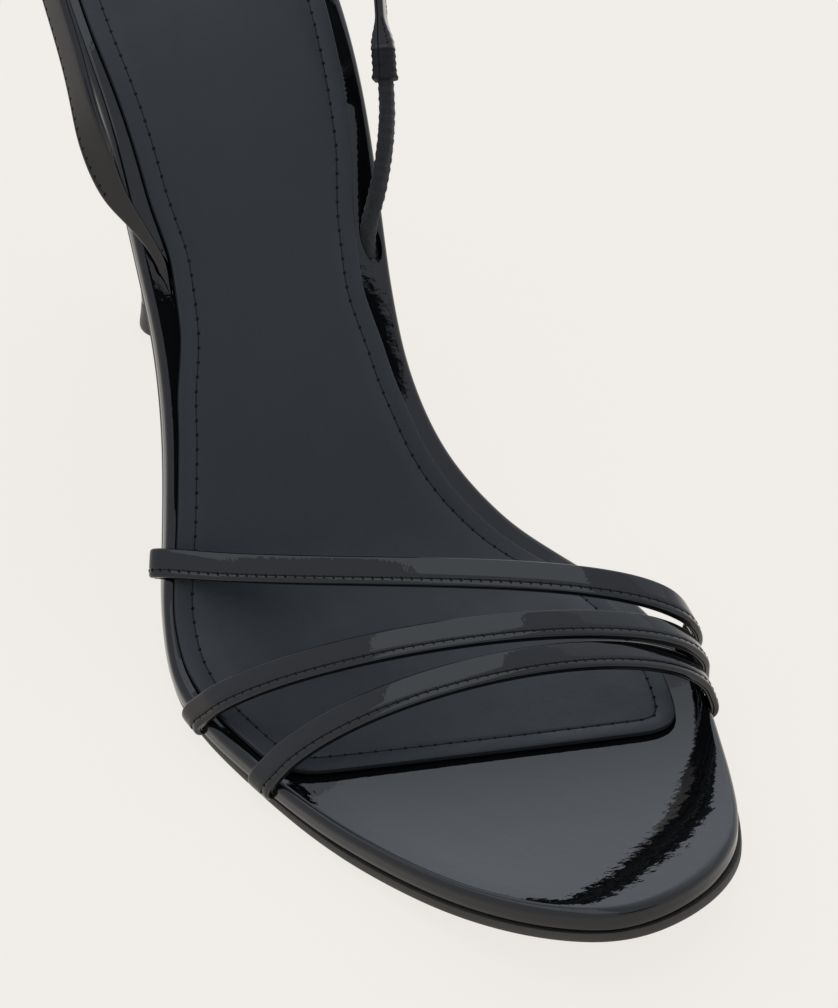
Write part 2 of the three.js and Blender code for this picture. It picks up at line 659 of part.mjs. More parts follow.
const HEEL_TIP = { back: 0.163, front: 0.345, width: 0.165, round: 0.9 };

// Ring of a heel section through a back and a front point, flat at the front unless it is round
function heelRing(back, front, width, round) {
  const middle = back.clone().add(front).multiplyScalar(0.5);
  const along = front.clone().sub(back).multiplyScalar(0.5);
  const ring = [];
  for (let k = 0; k < HEEL_STEPS; k++) {
    const angle = (2 * Math.PI * k) / HEEL_STEPS;
    const [c, s] = [Math.cos(angle), Math.sin(angle)];
    const flatness = c > 0 ? THREE.MathUtils.lerp(0.42, 1, round) : 1;
    const forward = Math.sign(c) * Math.abs(c) ** flatness;
    const aside = Math.sign(s) * Math.abs(s) ** THREE.MathUtils.lerp(c > 0 ? 0.55 : 0.82, 1, round);
    const p = middle.clone().addScaledVector(along, forward);
    p.y += (aside * width) / 2;
    ring.push(p);
  }
  return ring;
}

const fanCap = (n) => Array.from({ length: n - 2 }, (_, i) => [0, i + 1, i + 2]);

// The heel's top follows the insole's outline on the seat
function heelSeatRing() {
  const edge = sideways(inset(insoleEdge, HEEL_INSET));
  const back = edge.to;
  const length = back - breastAt;
  const ring = [];
  for (let k = 0; k < HEEL_STEPS; k++) {
    const angle = (2 * Math.PI * k) / HEEL_STEPS;
    const [c, s] = [Math.cos(angle), Math.sin(angle)];
    const forward = Math.sign(c) * Math.abs(c) ** (c > 0 ? 0.42 : 0.9);
    const station = back - (length * (1 + forward)) / 2;
    const reach = s > 0 ? edge.inner(station) : edge.outer(station);
    const middle = (edge.inner(station) + edge.outer(station)) / 2;
    const fill = c > 0 ? Math.min(Math.abs(s) ** 0.55, 1) : 1;
    const y = s === 0 ? middle : THREE.MathUtils.lerp(middle, reach, fill);
    ring.push(bend(station, y, OUTSOLE_THICKNESS));
  }
  return ring;
}

const seatX = (share) => share * SEAT_LENGTH - HEEL_REACH;

function heel() {
  const tipTop = TOP_PIECE_HEIGHT + CLEARANCE;
  const rows = HEEL_ROWS.map((row) => heelRing(
    new THREE.Vector3(seatX(row.back), HEEL_AXIS, row.backZ * HEEL_HEIGHT),
    new THREE.Vector3(seatX(row.front), HEEL_AXIS, row.frontZ * HEEL_HEIGHT),
    row.width * SEAT_WIDTH,
    row.round,
  ));
  const bottom = heelRing(
    new THREE.Vector3(seatX(HEEL_TIP.back), HEEL_AXIS, tipTop),
    new THREE.Vector3(seatX(HEEL_TIP.front), HEEL_AXIS, tipTop),
    HEEL_TIP.width * SEAT_WIDTH,
    HEEL_TIP.round,
  );
  return skin([bottom, ...rows.reverse(), heelSeatRing()], fanCap(HEEL_STEPS));
}

function heelTopPiece() {
  const ring = (z, out) => heelRing(
    new THREE.Vector3(seatX(HEEL_TIP.back) - out, HEEL_AXIS, z),
    new THREE.Vector3(seatX(HEEL_TIP.front) + out, HEEL_AXIS, z),
    HEEL_TIP.width * SEAT_WIDTH + 2 * out,
    HEEL_TIP.round,
  );
  const worn = TOP_PIECE_FLARE / 2;
  return skin([ring(0, worn), ring(worn, TOP_PIECE_FLARE), ring(TOP_PIECE_HEIGHT, 0)], fanCap(HEEL_STEPS));
}

// The assembly
const sandal = new THREE.Group();
function add(name, geometry, material) {
  geometry.computeVertexNormals();
  const mesh = new THREE.Mesh(geometry, material);
  mesh.name = name;
  sandal.add(mesh);
}

const straps = Object.entries(STRAPS).map(([name, strap]) => ({ name, ...forefootStrap(strap) }));
const sling = slingFrames();
const elastic = elasticFrames();
const slots = [sling.slice(0, SLOT_FRAMES), elastic.slice(-SLOT_FRAMES)];
const pockets = [...straps.flatMap(({ tucks }) => tucks), ...slots].map(roomFor);

add("outsole", outsole(), SOLE_LEATHER());
add("insole", cutOut(insoleBoard(), pockets), PATENT());
add("sock", sock(), NAPPA());
for (const { name, path } of straps) add(`forefoot_strap_${name}`, sweep(path), PATENT());
add("slingback_strap", cutOut(sweep(sling), [roomFor(elastic)]), PATENT());
add("elastic", sweep(elastic), FABRIC());
add("heel", heel(), PATENT());
add("heel_top_piece", heelTopPiece(), RUBBER());

export default sandal;
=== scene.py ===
import math

import bmesh
import bpy
import numpy as np
from mathutils import Matrix, Vector


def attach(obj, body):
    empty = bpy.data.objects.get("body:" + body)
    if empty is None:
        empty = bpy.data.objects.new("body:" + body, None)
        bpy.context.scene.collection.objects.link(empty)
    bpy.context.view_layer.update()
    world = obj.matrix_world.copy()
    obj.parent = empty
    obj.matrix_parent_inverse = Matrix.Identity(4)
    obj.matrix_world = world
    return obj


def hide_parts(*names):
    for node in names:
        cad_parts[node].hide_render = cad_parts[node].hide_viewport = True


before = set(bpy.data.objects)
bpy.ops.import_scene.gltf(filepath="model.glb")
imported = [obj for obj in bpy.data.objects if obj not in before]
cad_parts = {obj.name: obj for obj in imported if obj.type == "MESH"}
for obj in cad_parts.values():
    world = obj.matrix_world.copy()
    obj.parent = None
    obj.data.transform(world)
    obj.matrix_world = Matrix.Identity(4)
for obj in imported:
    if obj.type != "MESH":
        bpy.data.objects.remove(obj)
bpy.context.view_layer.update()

# Lengths are in millimetres until a mesh is made. +X points to the toe, +Y to the inner side of the foot.
MM = 0.001

# Side profile of the sole
TOE_REACH = 70.1
TOE_SPRING = 10.5
TREAD_LENGTH = 16
HEEL_REACH = 133.5
HEEL_HEIGHT = 103
SEAT_LENGTH = 48
SEAT_PITCH = 26
TOE_HANDLE = 0.5
ARCH_HANDLE = 0.32
SEAT_HANDLE = 0.36

# Widths, thicknesses and the gap between pieces
BALL_WIDTH = 82.4
WAIST_WIDTH = 44.3
SEAT_WIDTH = 49.4
CLEARANCE = 0.3
OUTSOLE_THICKNESS = 1.6
OUTSOLE_MARGIN = 1.3
INSOLE_THICKNESS = 3.6
INSOLE_ROUNDED_HEIGHT = 1.3
INSOLE_EDGE_REACH = 1.4
SOCK_THICKNESS = 0.8
SOCK_MARGIN = 4
SOCK_CORNER = 6
INSOLE_BOTTOM = OUTSOLE_THICKNESS + CLEARANCE
INSOLE_TOP = INSOLE_BOTTOM + INSOLE_THICKNESS
SOCK_BOTTOM = INSOLE_TOP + CLEARANCE
SOCK_TOP = SOCK_BOTTOM + SOCK_THICKNESS

# Straps
STRAP_WIDTH = 5
STRAP_THICKNESS = 1.5
STRAP_TUCK = 7
STRAP_SKIVE = 1
STRAP_BULGE = 1.6
STRAP_LEAVES_AT = 0.7
STRAP_OUTSIDE = STRAP_THICKNESS / 2 + 0.15
SLING_WIDTH = 5.8
SLING_ROOT_WIDTH = 1.8
SLING_THICKNESS = 1.5
SLING_REACH = 73
SLING_RISE = 93
SLING_SPREAD = 60
SLING_END_LENGTH = 5.5
SLING_END_WIDTH = 4.2
SLING_END_THICKNESS = 3.8
ELASTIC_WIDTH = 3.2
ELASTIC_ROOT_WIDTH = 2.6
ELASTIC_THICKNESS = 2.6
ELASTIC_SEAT = 3
LOOP_AXIS = -3.5
SLOT_AT = 0.6426
SLING_END = 0.89
SLING_LEAN = 10
SLING_FREE = 0.13
SLOT_SHARE = 0.06
SLOT_SIDE = 0.575

# The slit beside the elastic's slot: its size, how far ahead and inward of the slot it lies, and how high its
# floor is over the insole's underside
SLIT_LENGTH = 6.4
SLIT_WIDTH = 2.4
SLIT_AHEAD = 3.4
SLIT_INWARD = 0.2
SLIT_FLOOR = 1.2

# Heel; a power below one squares a section's corners
HEEL_SEAT_LENGTH = 46
HEEL_INSET = 0.5
TOP_PIECE_HEIGHT = 6
TOP_PIECE_FLARE = 0.6
HEEL_AXIS = -1.8
BREAST_POWER = 0.42
BREAST_SIDE_POWER = 0.55
BACK_SIDE_POWER = 0.82
SEAT_BACK_POWER = 0.9
HEEL_SEAT_EDGE = 0.98
HEEL_TIP_EDGE = 0.9

# The top piece from the floor up: height, and how far it stands out from the heel's tip
TOP_PIECE_SIDE = [
    (0, TOP_PIECE_FLARE - 0.45),
    (0.05, TOP_PIECE_FLARE - 0.2),
    (0.2, TOP_PIECE_FLARE - 0.05),
    (0.45, TOP_PIECE_FLARE),
    (1.2, TOP_PIECE_FLARE * 0.93),
    (3, TOP_PIECE_FLARE * 0.5),
    (TOP_PIECE_HEIGHT - 0.5, 0.05),
    (TOP_PIECE_HEIGHT - 0.1, -0.02),
    (TOP_PIECE_HEIGHT, -0.15),
]

# Stitches: distance of a row from its edge, and the step from hole to hole
SOCK_STITCH_INSET = 3.1
SOCK_STITCH_STEP = 2.47
STRAP_STITCH_INSET = 1.35
STRAP_STITCH_STEP = 1.64
GROOVE_HALF = 0.32
GROOVE_DEPTH = 0.12
STRAP_CROWN = 0.05
SLING_STITCH_INSET = 0.7
SOCK_STITCH_DEPTH = 0.06
SOCK_STITCHES = {"thread": 0.08, "hole": (0.46, 0.36), "lift": 0.0}
STRAP_STITCH_DEPTH = 0.02
SLING_STITCH_DEPTH = 0.01
STRAP_ENDS_PLAIN = 26
THREAD_SHARE = 0.9
THREAD_RISE = 0.02
THREAD_SINK = 0.04
HOLE_SLANT = 0.7
HOLE_SINK = 0.55

# Edges of the sole's plates, from below: how far each layer draws in, and its height
OUTSOLE_EDGE = [
    (0.55, 0),
    (0.3, 0.06),
    (0.12, 0.2),
    (0.02, 0.42),
    (0, 0.7),
    (0.05, 1.3),
    (0.2, OUTSOLE_THICKNESS),
]
INSOLE_LOWER_EDGE = [(1.2, 0), (0.45, 0.08), (0.1, 0.35)]
INSOLE_WALL_FOOT = 0.6

# The sock's edge and the groove of its seam: draw and depth below its top. In the groove the draw is a share
# of half its width
SOCK_UPPER_EDGE = [(0, 0.28), (0.06, 0.12), (0.2, 0.02), (0.4, 0)]
SOCK_GROOVE = [(-1, 0), (-0.5, 0.07), (0, 0.11), (0.5, 0.07), (1, 0)]

# Section of a strap: radius of the fold, depth of the seam below the middle as a share of half the thickness,
# the seam's profile as places in from the edge and up from the seam, and the lining's as places in from the
# edge and shares of half the thickness below the middle
STRAP_FOLD = 0.55
STRAP_SEAM_AT = 0.3
STRAP_SEAM = [(0, 0.06), (0.06, 0), (0.22, -0.05), (0.1, -0.14)]
LINING_EDGE = [(0.06, 0.74), (0.12, 0.93), (0.26, 1)]
LINING_INSET = LINING_EDGE[-1][0]

# Sleeve at the slingback's end: how deep and how far apart it is gathered, and the hem at its mouth
GATHER_DEPTH = 0.045
GATHER_STEP = 1.25
HEM_LENGTH = 1.3
HEM_SWELL = 0.09

# Elastic: length of a rib, and of one step along the cord, how far ribs, braid and fibres swell it, and the
# power that squares its section
ELASTIC_RIB = 1.6
ELASTIC_STEP = 0.16
RIB_SWELL = 0.05
RIB_BEAT = 0.37
BRAID_SWELL = 0.03
BRAID_TURNS = 2.3
BRAID_STRANDS = 5
FIBRE_SWELL = 0.02
ELASTIC_POWER = 0.7
SLOT_POWER = 0.6

# Steps along an outline
OUTLINE_STEP = 0.5

# The camera stands where the photograph was taken from
CAMERA_PLACE = (246.0, -136.3, 266.65)
CAMERA_AZIMUTH = 61.83
CAMERA_ELEVATION = 38.79
CAMERA_ROLL = 2.51
CAMERA_FOCAL_PIXELS = 2257.3
PHOTO_HEIGHT = 1008
SENSOR = 36


def unit(v):
    v = np.asarray(v, float)
    return v / np.maximum(np.linalg.norm(v, axis=-1, keepdims=True), 1e-12)


def lerp(a, b, t):
    return a + (b - a) * t


def smoothstep(value, low, high):
    t = np.clip((value - low) / (high - low), 0, 1)
    return t * t * (3 - 2 * t)


def path_lengths(points):
    """Length of the way from the first point to each point."""
    return np.concatenate([[0], np.cumsum(np.linalg.norm(np.diff(points, axis=0), axis=1))])


def circle(count):
    return np.linspace(0, 2 * math.pi, count, endpoint=False)


def squared(value, power):
    """A sine or cosine whose circle is squared by a power below one."""
    return np.sign(value) * np.abs(value) ** power


def square_to(v, t):
    """The directions nearest to v that stand square to the directions t."""
    return unit(v - t * np.sum(v * t, 1, keepdims=True))


def directions(place, across):
    """Across and outward directions along a line of places."""
    t = unit(np.gradient(place, axis=0))
    w = square_to(across, t)
    return w, np.cross(t, w)


def set_camera():
    a, e, roll = (math.radians(v) for v in (CAMERA_AZIMUTH, CAMERA_ELEVATION, CAMERA_ROLL))
    back = Vector((math.sin(a) * math.cos(e), -math.cos(a) * math.cos(e), math.sin(e)))
    right = (-back).cross(Vector((0, 0, 1))).normalized()
    up = right.cross(-back)
    x = math.cos(roll) * right + math.sin(roll) * up
    y = -math.sin(roll) * right + math.cos(roll) * up
    data = bpy.data.cameras.new("camera")
    data.sensor_width = SENSOR
    data.lens = CAMERA_FOCAL_PIXELS * SENSOR / PHOTO_HEIGHT
    data.clip_start = 0.01
    data.clip_end = 50
    camera = bpy.data.objects.new("camera", data)
    turned = Matrix((x, y, back)).transposed().to_4x4()
    camera.matrix_world = Matrix.Translation(Vector(CAMERA_PLACE) * MM) @ turned
    bpy.context.scene.collection.objects.link(camera)
    bpy.context.scene.camera = camera


set_camera()


def bezier(controls, steps):
    """Points of a Bezier curve of any degree."""
    t = np.linspace(0, 1, steps + 1)[:, None]
    points = [np.repeat(np.array(c, float)[None], steps + 1, 0) for c in controls]
    while len(points) > 1:
        points = [a + (b - a) * t for a, b in zip(points, points[1:])]
    return points[0]


def build_profile():
    """Side profile of the sole from the toe to the seat: points, lengths along it and angles."""
    half = TREAD_LENGTH / 2
    pitch = math.radians(SEAT_PITCH)
    along = np.array([math.cos(pitch), -math.sin(pitch)])
    seat_back = np.array([-HEEL_REACH, HEEL_HEIGHT], float)
    seat_front = seat_back + along * SEAT_LENGTH
    start = np.array([-half, 0.0])
    span = np.linalg.norm(seat_front - start)
    curves = [
        (((TOE_REACH, TOE_SPRING), (half + (TOE_REACH - half) * TOE_HANDLE, 0), (half, 0)), 160),
        (((half, 0), (-half, 0)), 16),
        ((start, start - (span * ARCH_HANDLE, 0), seat_front + along * span * SEAT_HANDLE, seat_front), 320),
        ((seat_front, seat_back), 60),
    ]
    points = np.concatenate([bezier(c, n)[1 if i else 0:] for i, (c, n) in enumerate(curves)])
    lengths = path_lengths(points)
    d = np.gradient(points, lengths, axis=0)
    return points, lengths, np.unwrap(np.arctan2(d[:, 1], d[:, 0]))


profile_points, profile_lengths, profile_angles = build_profile()
PROFILE = profile_lengths[-1]


def bend(s, y, h):
    """Points of the flat pattern bent onto the profile: s along the sole from the toe, y sideways, h up."""
    s, y, h = np.broadcast_arrays(np.asarray(s, float), y, h)
    at = np.clip(s, 0, PROFILE)
    angle = np.interp(at, profile_lengths, profile_angles)
    tx, tz = np.cos(angle), np.sin(angle)
    x = np.interp(at, profile_lengths, profile_points[:, 0]) + tx * (s - at)
    z = np.interp(at, profile_lengths, profile_points[:, 1]) + tz * (s - at)
    return np.stack([x + h * tz, y, z - h * tx], -1)


# Outline of the insole: share of the profile's length, reach to the outer and to the inner side, and the
# width that the reach is a share of
OUTLINE = [
    (0.003, -0.003, 0.035, BALL_WIDTH),
    (0.007, 0.056, 0.097, BALL_WIDTH),
    (0.018, 0.107, 0.175, BALL_WIDTH),
    (0.037, 0.166, 0.25, BALL_WIDTH),
    (0.062, 0.223, 0.305, BALL_WIDTH),
    (0.09, 0.273, 0.349, BALL_WIDTH),
    (0.132, 0.332, 0.404, BALL_WIDTH),
    (0.185, 0.394, 0.463, BALL_WIDTH),
    (0.246, 0.449, 0.494, BALL_WIDTH),
    (0.307, 0.494, 0.476, BALL_WIDTH),
    (0.355, 0.502, 0.417, BALL_WIDTH),
    (0.411, 0.472, 0.316, BALL_WIDTH),
    (0.472, 0.774, 0.431, WAIST_WIDTH),
    (0.533, 0.691, 0.359, WAIST_WIDTH),
    (0.593, 0.646, 0.354, WAIST_WIDTH),
    (0.662, 0.635, 0.39, WAIST_WIDTH),
    (0.735, 0.62, 0.44, WAIST_WIDTH),
    (0.808, 0.549, 0.438, SEAT_WIDTH),
    (0.873, 0.518, 0.478, SEAT_WIDTH),
    (0.93, 0.44, 0.436, SEAT_WIDTH),
    (0.968, 0.312, 0.324, SEAT_WIDTH),
    (0.989, 0.18, 0.2, SEAT_WIDTH),
    (1, -0.01, 0.01, SEAT_WIDTH),
]

# Margins round the insole: share of the profile's length, then the outer and the inner side as shares of the
# widest margin
OUTSOLE_BORDER = [
    (0, 0.25, 0.25),
    (0.015, 0.15, 0.5),
    (0.035, 0.2, 0.6),
    (0.06, 0.25, 0.4),
    (0.1, 0.3, 0.3),
    (0.16, 0.25, 0.1),
    (0.23, 0, -0.15),
    (0.31, -0.3, -0.35),
    (1, -0.3, -0.35),
]
SOCK_BORDER = [
    (0.16, 0.5, 1.6),
    (0.25, 0.55, 1.35),
    (0.34, 0.6, 1.15),
    (0.41, 0.35, 1.05),
    (0.51, 0.4, 0.9),
    (0.56, 0.5, 1.1),
    (0.6, 1, 1.55),
    (0.65, 1.25, 1.5),
    (0.69, 0.9, 1.1),
    (0.8, 0.65, 0.85),
    (1, 0.65, 0.65),
]
SOCK_FRONT_OUTER = 0.232
SOCK_FRONT_INNER = 0.154


def catmull(points, closed, steps):
    """Centripetal Catmull-Rom curve through the points."""
    p = np.asarray(points, float)
    if closed:
        p = np.concatenate([p[-1:], p, p[:2]])
    else:
        p = np.concatenate([2 * p[:1] - p[1:2], p, 2 * p[-1:] - p[-2:-1]])
    t = np.linspace(0, 1, steps, endpoint=False)[:, None]
    out = []
    for a, b, c, d in zip(p, p[1:], p[2:], p[3:]):
        k0, k1, k2 = (max(np.sum((v - u) ** 2) ** 0.25, 1e-4) for u, v in ((a, b), (b, c), (c, d)))
        t1 = ((b - a) / k0 - (c - a) / (k0 + k1) + (c - b) / k1) * k1
        t2 = ((c - b) / k1 - (d - b) / (k1 + k2) + (d - c) / k2) * k1
        out.append(b + t1 * t + (-3 * b + 3 * c - 2 * t1 - t2) * t**2 + (2 * b - 2 * c + t1 + t2) * t**3)
    return np.concatenate(out if closed else out + [p[-2:-1]])


def resample(points, step, closed=False):
    """Points at even steps along a line, with any further columns carried along."""
    p = np.concatenate([points, points[:1]]) if closed else points
    lengths = path_lengths(p[:, :3])
    count = max(int(round(lengths[-1] / step)), 2)
    at = np.linspace(0, lengths[-1], count + 1)
    if closed:
        at = at[:-1]
    return np.stack([np.interp(at, lengths, p[:, i]) for i in range(p.shape[1])], 1)


def soften(values, sigma, closed=False):
    """Gaussian smoothing along a line; sigma is in steps."""
    if sigma <= 0:
        return values
    reach = int(3 * sigma) + 1
    k = np.exp(-0.5 * (np.arange(-reach, reach + 1) / sigma) ** 2)
    k /= k.sum()
    if closed:
        padded = np.concatenate([values[-reach:], values, values[:reach]])
    else:
        head = 2 * values[:1] - values[reach:0:-1]
        tail = 2 * values[-1:] - values[-2:-reach - 2:-1]
        padded = np.concatenate([head, values, tail])
    return np.stack([np.convolve(padded[:, i], k, "valid") for i in range(values.shape[1])], 1)


def insole_outline():
    """Closed outline of the insole in the flat pattern."""
    outer = [(a * PROFILE, -o * w) for a, o, i, w in OUTLINE]
    inner = [(a * PROFILE, i * w) for a, o, i, w in OUTLINE]
    middle = [tuple((np.array(outer[k]) + inner[k]) / 2) for k in (0, -1)]
    curve = catmull([middle[0], *outer[1:-1], middle[1], *inner[1:-1][::-1]], True, 24)
    return soften(resample(curve, OUTLINE_STEP, closed=True), 4, closed=True)


def inward(outline):
    """Directions into a closed outline."""
    t = unit(np.roll(outline, -1, 0) - np.roll(outline, 1, 0))
    return np.stack([-t[:, 1], t[:, 0]], 1)


def inset(outline, distance):
    return outline + inward(outline) * np.reshape(distance, (-1, 1))


def margin(border, outline):
    """The border's share at each point of an outline."""
    share = outline[:, 0] / PROFILE
    along, outer, inner = np.array(border, float).T
    return np.where(outline[:, 1] < HEEL_AXIS, np.interp(share, along, outer), np.interp(share, along, inner))


insole_edge = insole_outline()


def sock_outline():
    """Outline of the sock: the insole's, drawn in and cut across in front with rounded corners."""
    border = SOCK_MARGIN * margin(SOCK_BORDER, insole_edge)
    points = inset(insole_edge, border)
    outer_side = insole_edge[:, 1] < HEEL_AXIS
    front = np.where(outer_side, SOCK_FRONT_OUTER, SOCK_FRONT_INNER) * PROFILE
    keep = points[points[:, 0] > front + SOCK_CORNER]
    first = int(np.argmax(np.linalg.norm(keep - np.roll(keep, 1, 0), axis=1)))
    keep = np.roll(keep, -first, 0)
    outer_end, inner_end = keep[0], keep[-1]

    def corner(end, further, at):
        t = unit(end - further)
        return end + t * (end[0] - at) / abs(t[0])

    outer_corner = corner(outer_end, keep[8], SOCK_FRONT_OUTER * PROFILE)
    inner_corner = corner(inner_end, keep[-9], SOCK_FRONT_INNER * PROFILE)
    across = unit(outer_corner - inner_corner)
    front_inner = inner_corner + across * SOCK_CORNER
    front_outer = outer_corner - across * SOCK_CORNER
    inner_round = bezier((inner_end, inner_corner, front_inner), 16)
    outer_round = bezier((front_outer, outer_corner, outer_end), 16)
    closed = np.concatenate([inner_round[1:], outer_round[:-1], keep])
    return soften(resample(closed, OUTLINE_STEP, closed=True), 3, closed=True)


class Sides:
    """The outer and the inner side of a closed outline, as sideways places at each station."""

    def __init__(self, outline):
        first, last = int(np.argmin(outline[:, 0])), int(np.argmax(outline[:, 0]))
        turned = np.roll(outline, -first, 0)
        last = (last - first) % len(outline)
        self.parts = [turned[:last + 1], np.concatenate([turned[:1], turned[last:][::-1]])]
        self.start, self.end = turned[0, 0], turned[last, 0]

    def outer(self, s):
        return np.interp(s, *self.parts[0].T)

    def inner(self, s):
        return np.interp(s, *self.parts[1].T)


insole_sides = Sides(insole_edge)


def link(name, groups, materials, sharp=38):
    """One object from groups of (points in mm, faces, material number), with outward faces."""
    points, faces, numbers, base = [], [], [], 0
    for verts, polygons, number in groups:
        points.append(np.asarray(verts, float))
        faces.extend(tuple(int(i) + base for i in f) for f in polygons)
        numbers.extend([number] * len(polygons))
        base += len(verts)
    mesh = bpy.data.meshes.new(name)
    mesh.from_pydata((np.concatenate(points) * MM).tolist(), [], faces)
    mesh.polygons.foreach_set("material_index", numbers)
    for material in materials:
        mesh.materials.append(material)
    bm = bmesh.new()
    bm.from_mesh(mesh)
    bmesh.ops.remove_doubles(bm, verts=bm.verts, dist=2e-6)
    bmesh.ops.dissolve_degenerate(bm, edges=bm.edges, dist=1e-7)
    bmesh.ops.recalc_face_normals(bm, faces=bm.faces)
    bm.to_mesh(mesh)
    bm.free()
    mesh.polygons.foreach_set("use_smooth", [True] * len(mesh.polygons))
    mesh.set_sharp_from_angle(angle=math.radians(sharp))
    piece = bpy.data.objects.new(name, mesh)
    bpy.context.scene.collection.objects.link(piece)
    return piece


def stand_for(piece, node):
    """Puts a piece on the root in place of a solid."""
    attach(piece, "root")
    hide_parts(node)
    return piece


def rings_skin(rings, cap_ends=True):
    """Points and faces over rings of equal length; the ends are closed by one face each if asked."""
    n = len(rings[0])
    faces = []
    for r in range(len(rings) - 1):
        for i in range(n):
            j = (i + 1) % n
            faces.append((r * n + i, r * n + j, (r + 1) * n + j, (r + 1) * n + i))
    if cap_ends:
        faces.append(tuple(range(n))[::-1])
        faces.append(tuple(range((len(rings) - 1) * n, len(rings) * n)))
    return np.concatenate(rings), faces


def plate(outline, layers, stations=300, across=14, back_end=None):
    """A plate of the sole: rings drawn in and lifted as the layers say, closed above and below by grids."""
    share = (1 - np.cos(np.pi * np.linspace(0, 1, stations + 1))) / 2
    rings, grids = [], []
    for draw, h in layers:
        sides = Sides(inset(outline, draw))
        end = sides.end if back_end is None else min(sides.end, back_end)
        s = sides.start + (end - sides.start) * share
        outer, inner = sides.outer(s), sides.inner(s)
        rings.append(np.concatenate([bend(s, inner, h), bend(s, outer, h)[::-1]]))
        w = np.linspace(0, 1, across + 1)[None]
        grids.append(bend(s[:, None], inner[:, None] * (1 - w) + outer[:, None] * w, h))
    verts, faces = rings_skin(rings, cap_ends=False)
    groups = [(verts, faces)]
    for grid in (grids[0], grids[-1]):
        n, m = grid.shape[:2]
        quads = [
            (i * m + j, i * m + j + 1, (i + 1) * m + j + 1, (i + 1) * m + j)
            for i in range(n - 1)
            for j in range(m - 1)
        ]
        groups.append((grid.reshape(-1, 3), quads))
    return groups


def round_layers(bottom, top, reach, steps=10, start=0.0):
    """Layers of an edge that rounds in over its reach between two heights."""
    angles = np.linspace(0, math.pi / 2, steps + 1)
    return [(start + reach * (1 - math.cos(a)), bottom + (top - bottom) * math.sin(a)) for a in angles]


# Materials
def new_material(name):
    material = bpy.data.materials.new(name)
    material.use_nodes = True
    tree = material.node_tree
    shader = tree.nodes["Principled BSDF"]
    return material, tree, shader


def add_node(tree, kind, inputs=(), **settings):
    node = tree.nodes.new(kind)
    for key, value in settings.items():
        setattr(node, key, value)
    for key, value in dict(inputs).items():
        socket = node.inputs[key]
        if isinstance(value, bpy.types.NodeSocket):
            tree.links.new(value, socket)
        else:
            socket.default_value = value
    return node


def noise(tree, scale, detail=3.0, roughness=0.5, stretch=None):
    place = add_node(tree, "ShaderNodeTexCoord").outputs["Object"]
    if stretch is not None:
        mapping = add_node(tree, "ShaderNodeMapping", {"Vector": place})
        mapping.inputs["Scale"].default_value = stretch
        place = mapping.outputs["Vector"]
    inputs = {"Vector": place, "Scale": scale, "Detail": detail, "Roughness": roughness}
    return add_node(tree, "ShaderNodeTexNoise", inputs).outputs["Fac"]


def cells(tree, scale, feature="F1"):
    place = add_node(tree, "ShaderNodeTexCoord").outputs["Object"]
    inputs = {"Vector": place, "Scale": scale}
    return add_node(tree, "ShaderNodeTexVoronoi", inputs, feature=feature).outputs["Distance"]


def span(tree, value, low, high, from_low=0.3, from_high=0.7):
    inputs = {"Value": value, "From Min": from_low, "From Max": from_high, "To Min": low, "To Max": high}
    return add_node(tree, "ShaderNodeMapRange", inputs).outputs["Result"]


def blend_colours(tree, factor, first, second):
    node = add_node(tree, "ShaderNodeMix", data_type="RGBA")
    node.inputs[6].default_value = (*first, 1)
    node.inputs[7].default_value = (*second, 1)
    tree.links.new(factor, node.inputs["Factor"])
    return node.outputs[2]


def bump(tree, height, strength, distance, normal=None):
    inputs = {"Height": height, "Strength": strength, "Distance": distance}
    if normal is not None:
        inputs["Normal"] = normal
    return add_node(tree, "ShaderNodeBump", inputs).outputs["Normal"]


def dress(tree, shader, shade, roughness, normal, constants=()):
    """Links colour, roughness and normal to the shader, and sets its constants."""
    for key, socket in (("Base Color", shade), ("Roughness", roughness), ("Normal", normal)):
        tree.links.new(socket, shader.inputs[key])
    for key, value in dict(constants).items():
        shader.inputs[key].default_value = value


def patent(name, ripple=1.0):
    """Patent leather: a dark dyed leather under a thick clear gloss that ripples a little."""
    material, tree, shader = new_material(name)
    broad = bump(tree, noise(tree, 130, 2), 1.0, 0.00005 * ripple)
    peel = bump(tree, noise(tree, 700, 2, 0.5), 1.0, 0.000016 * ripple, broad)
    shade = blend_colours(tree, noise(tree, 60, 2), (0.0018, 0.0019, 0.0023), (0.0028, 0.0029, 0.0034))
    roughness = span(tree, noise(tree, 220, 4), 0.3, 0.45)
    constants = {"Specular IOR Level": 0.0, "Coat Weight": 1.0, "Coat Roughness": 0.03}
    dress(tree, shader, shade, roughness, peel, constants)
    tree.links.new(peel, shader.inputs["Coat Normal"])
    return material


def nappa(name):
    """Soft lining leather: fine pebbled grain with a low satin sheen."""
    material, tree, shader = new_material(name)
    grain = bump(tree, cells(tree, 2600), 0.25, 0.00006)
    normal = bump(tree, noise(tree, 420, 4, 0.6), 0.25, 0.00025, grain)
    shade = blend_colours(tree, noise(tree, 90, 4, 0.6), (0.0182, 0.0217, 0.0250), (0.0226, 0.0264, 0.0300))
    roughness = span(tree, noise(tree, 160, 4), 0.40, 0.52)
    constants = {"Specular IOR Level": 0.32, "Sheen Weight": 0.05, "Sheen Roughness": 0.4}
    dress(tree, shader, shade, roughness, normal, constants)
    return material


def sole_leather(name):
    """Matt dark leather with a dyed, fibrous edge."""
    material, tree, shader = new_material(name)
    fibre = bump(tree, noise(tree, 700, 6, 0.7), 0.5, 0.00018)
    normal = bump(tree, noise(tree, 60, 3), 0.2, 0.0005, fibre)
    shade = blend_colours(tree, noise(tree, 240, 6, 0.65), (0.0260, 0.0225, 0.0190), (0.0620, 0.0540, 0.0460))
    roughness = span(tree, noise(tree, 120, 5), 0.45, 0.72)
    dress(tree, shader, shade, roughness, normal, {"Specular IOR Level": 0.35})
    return material


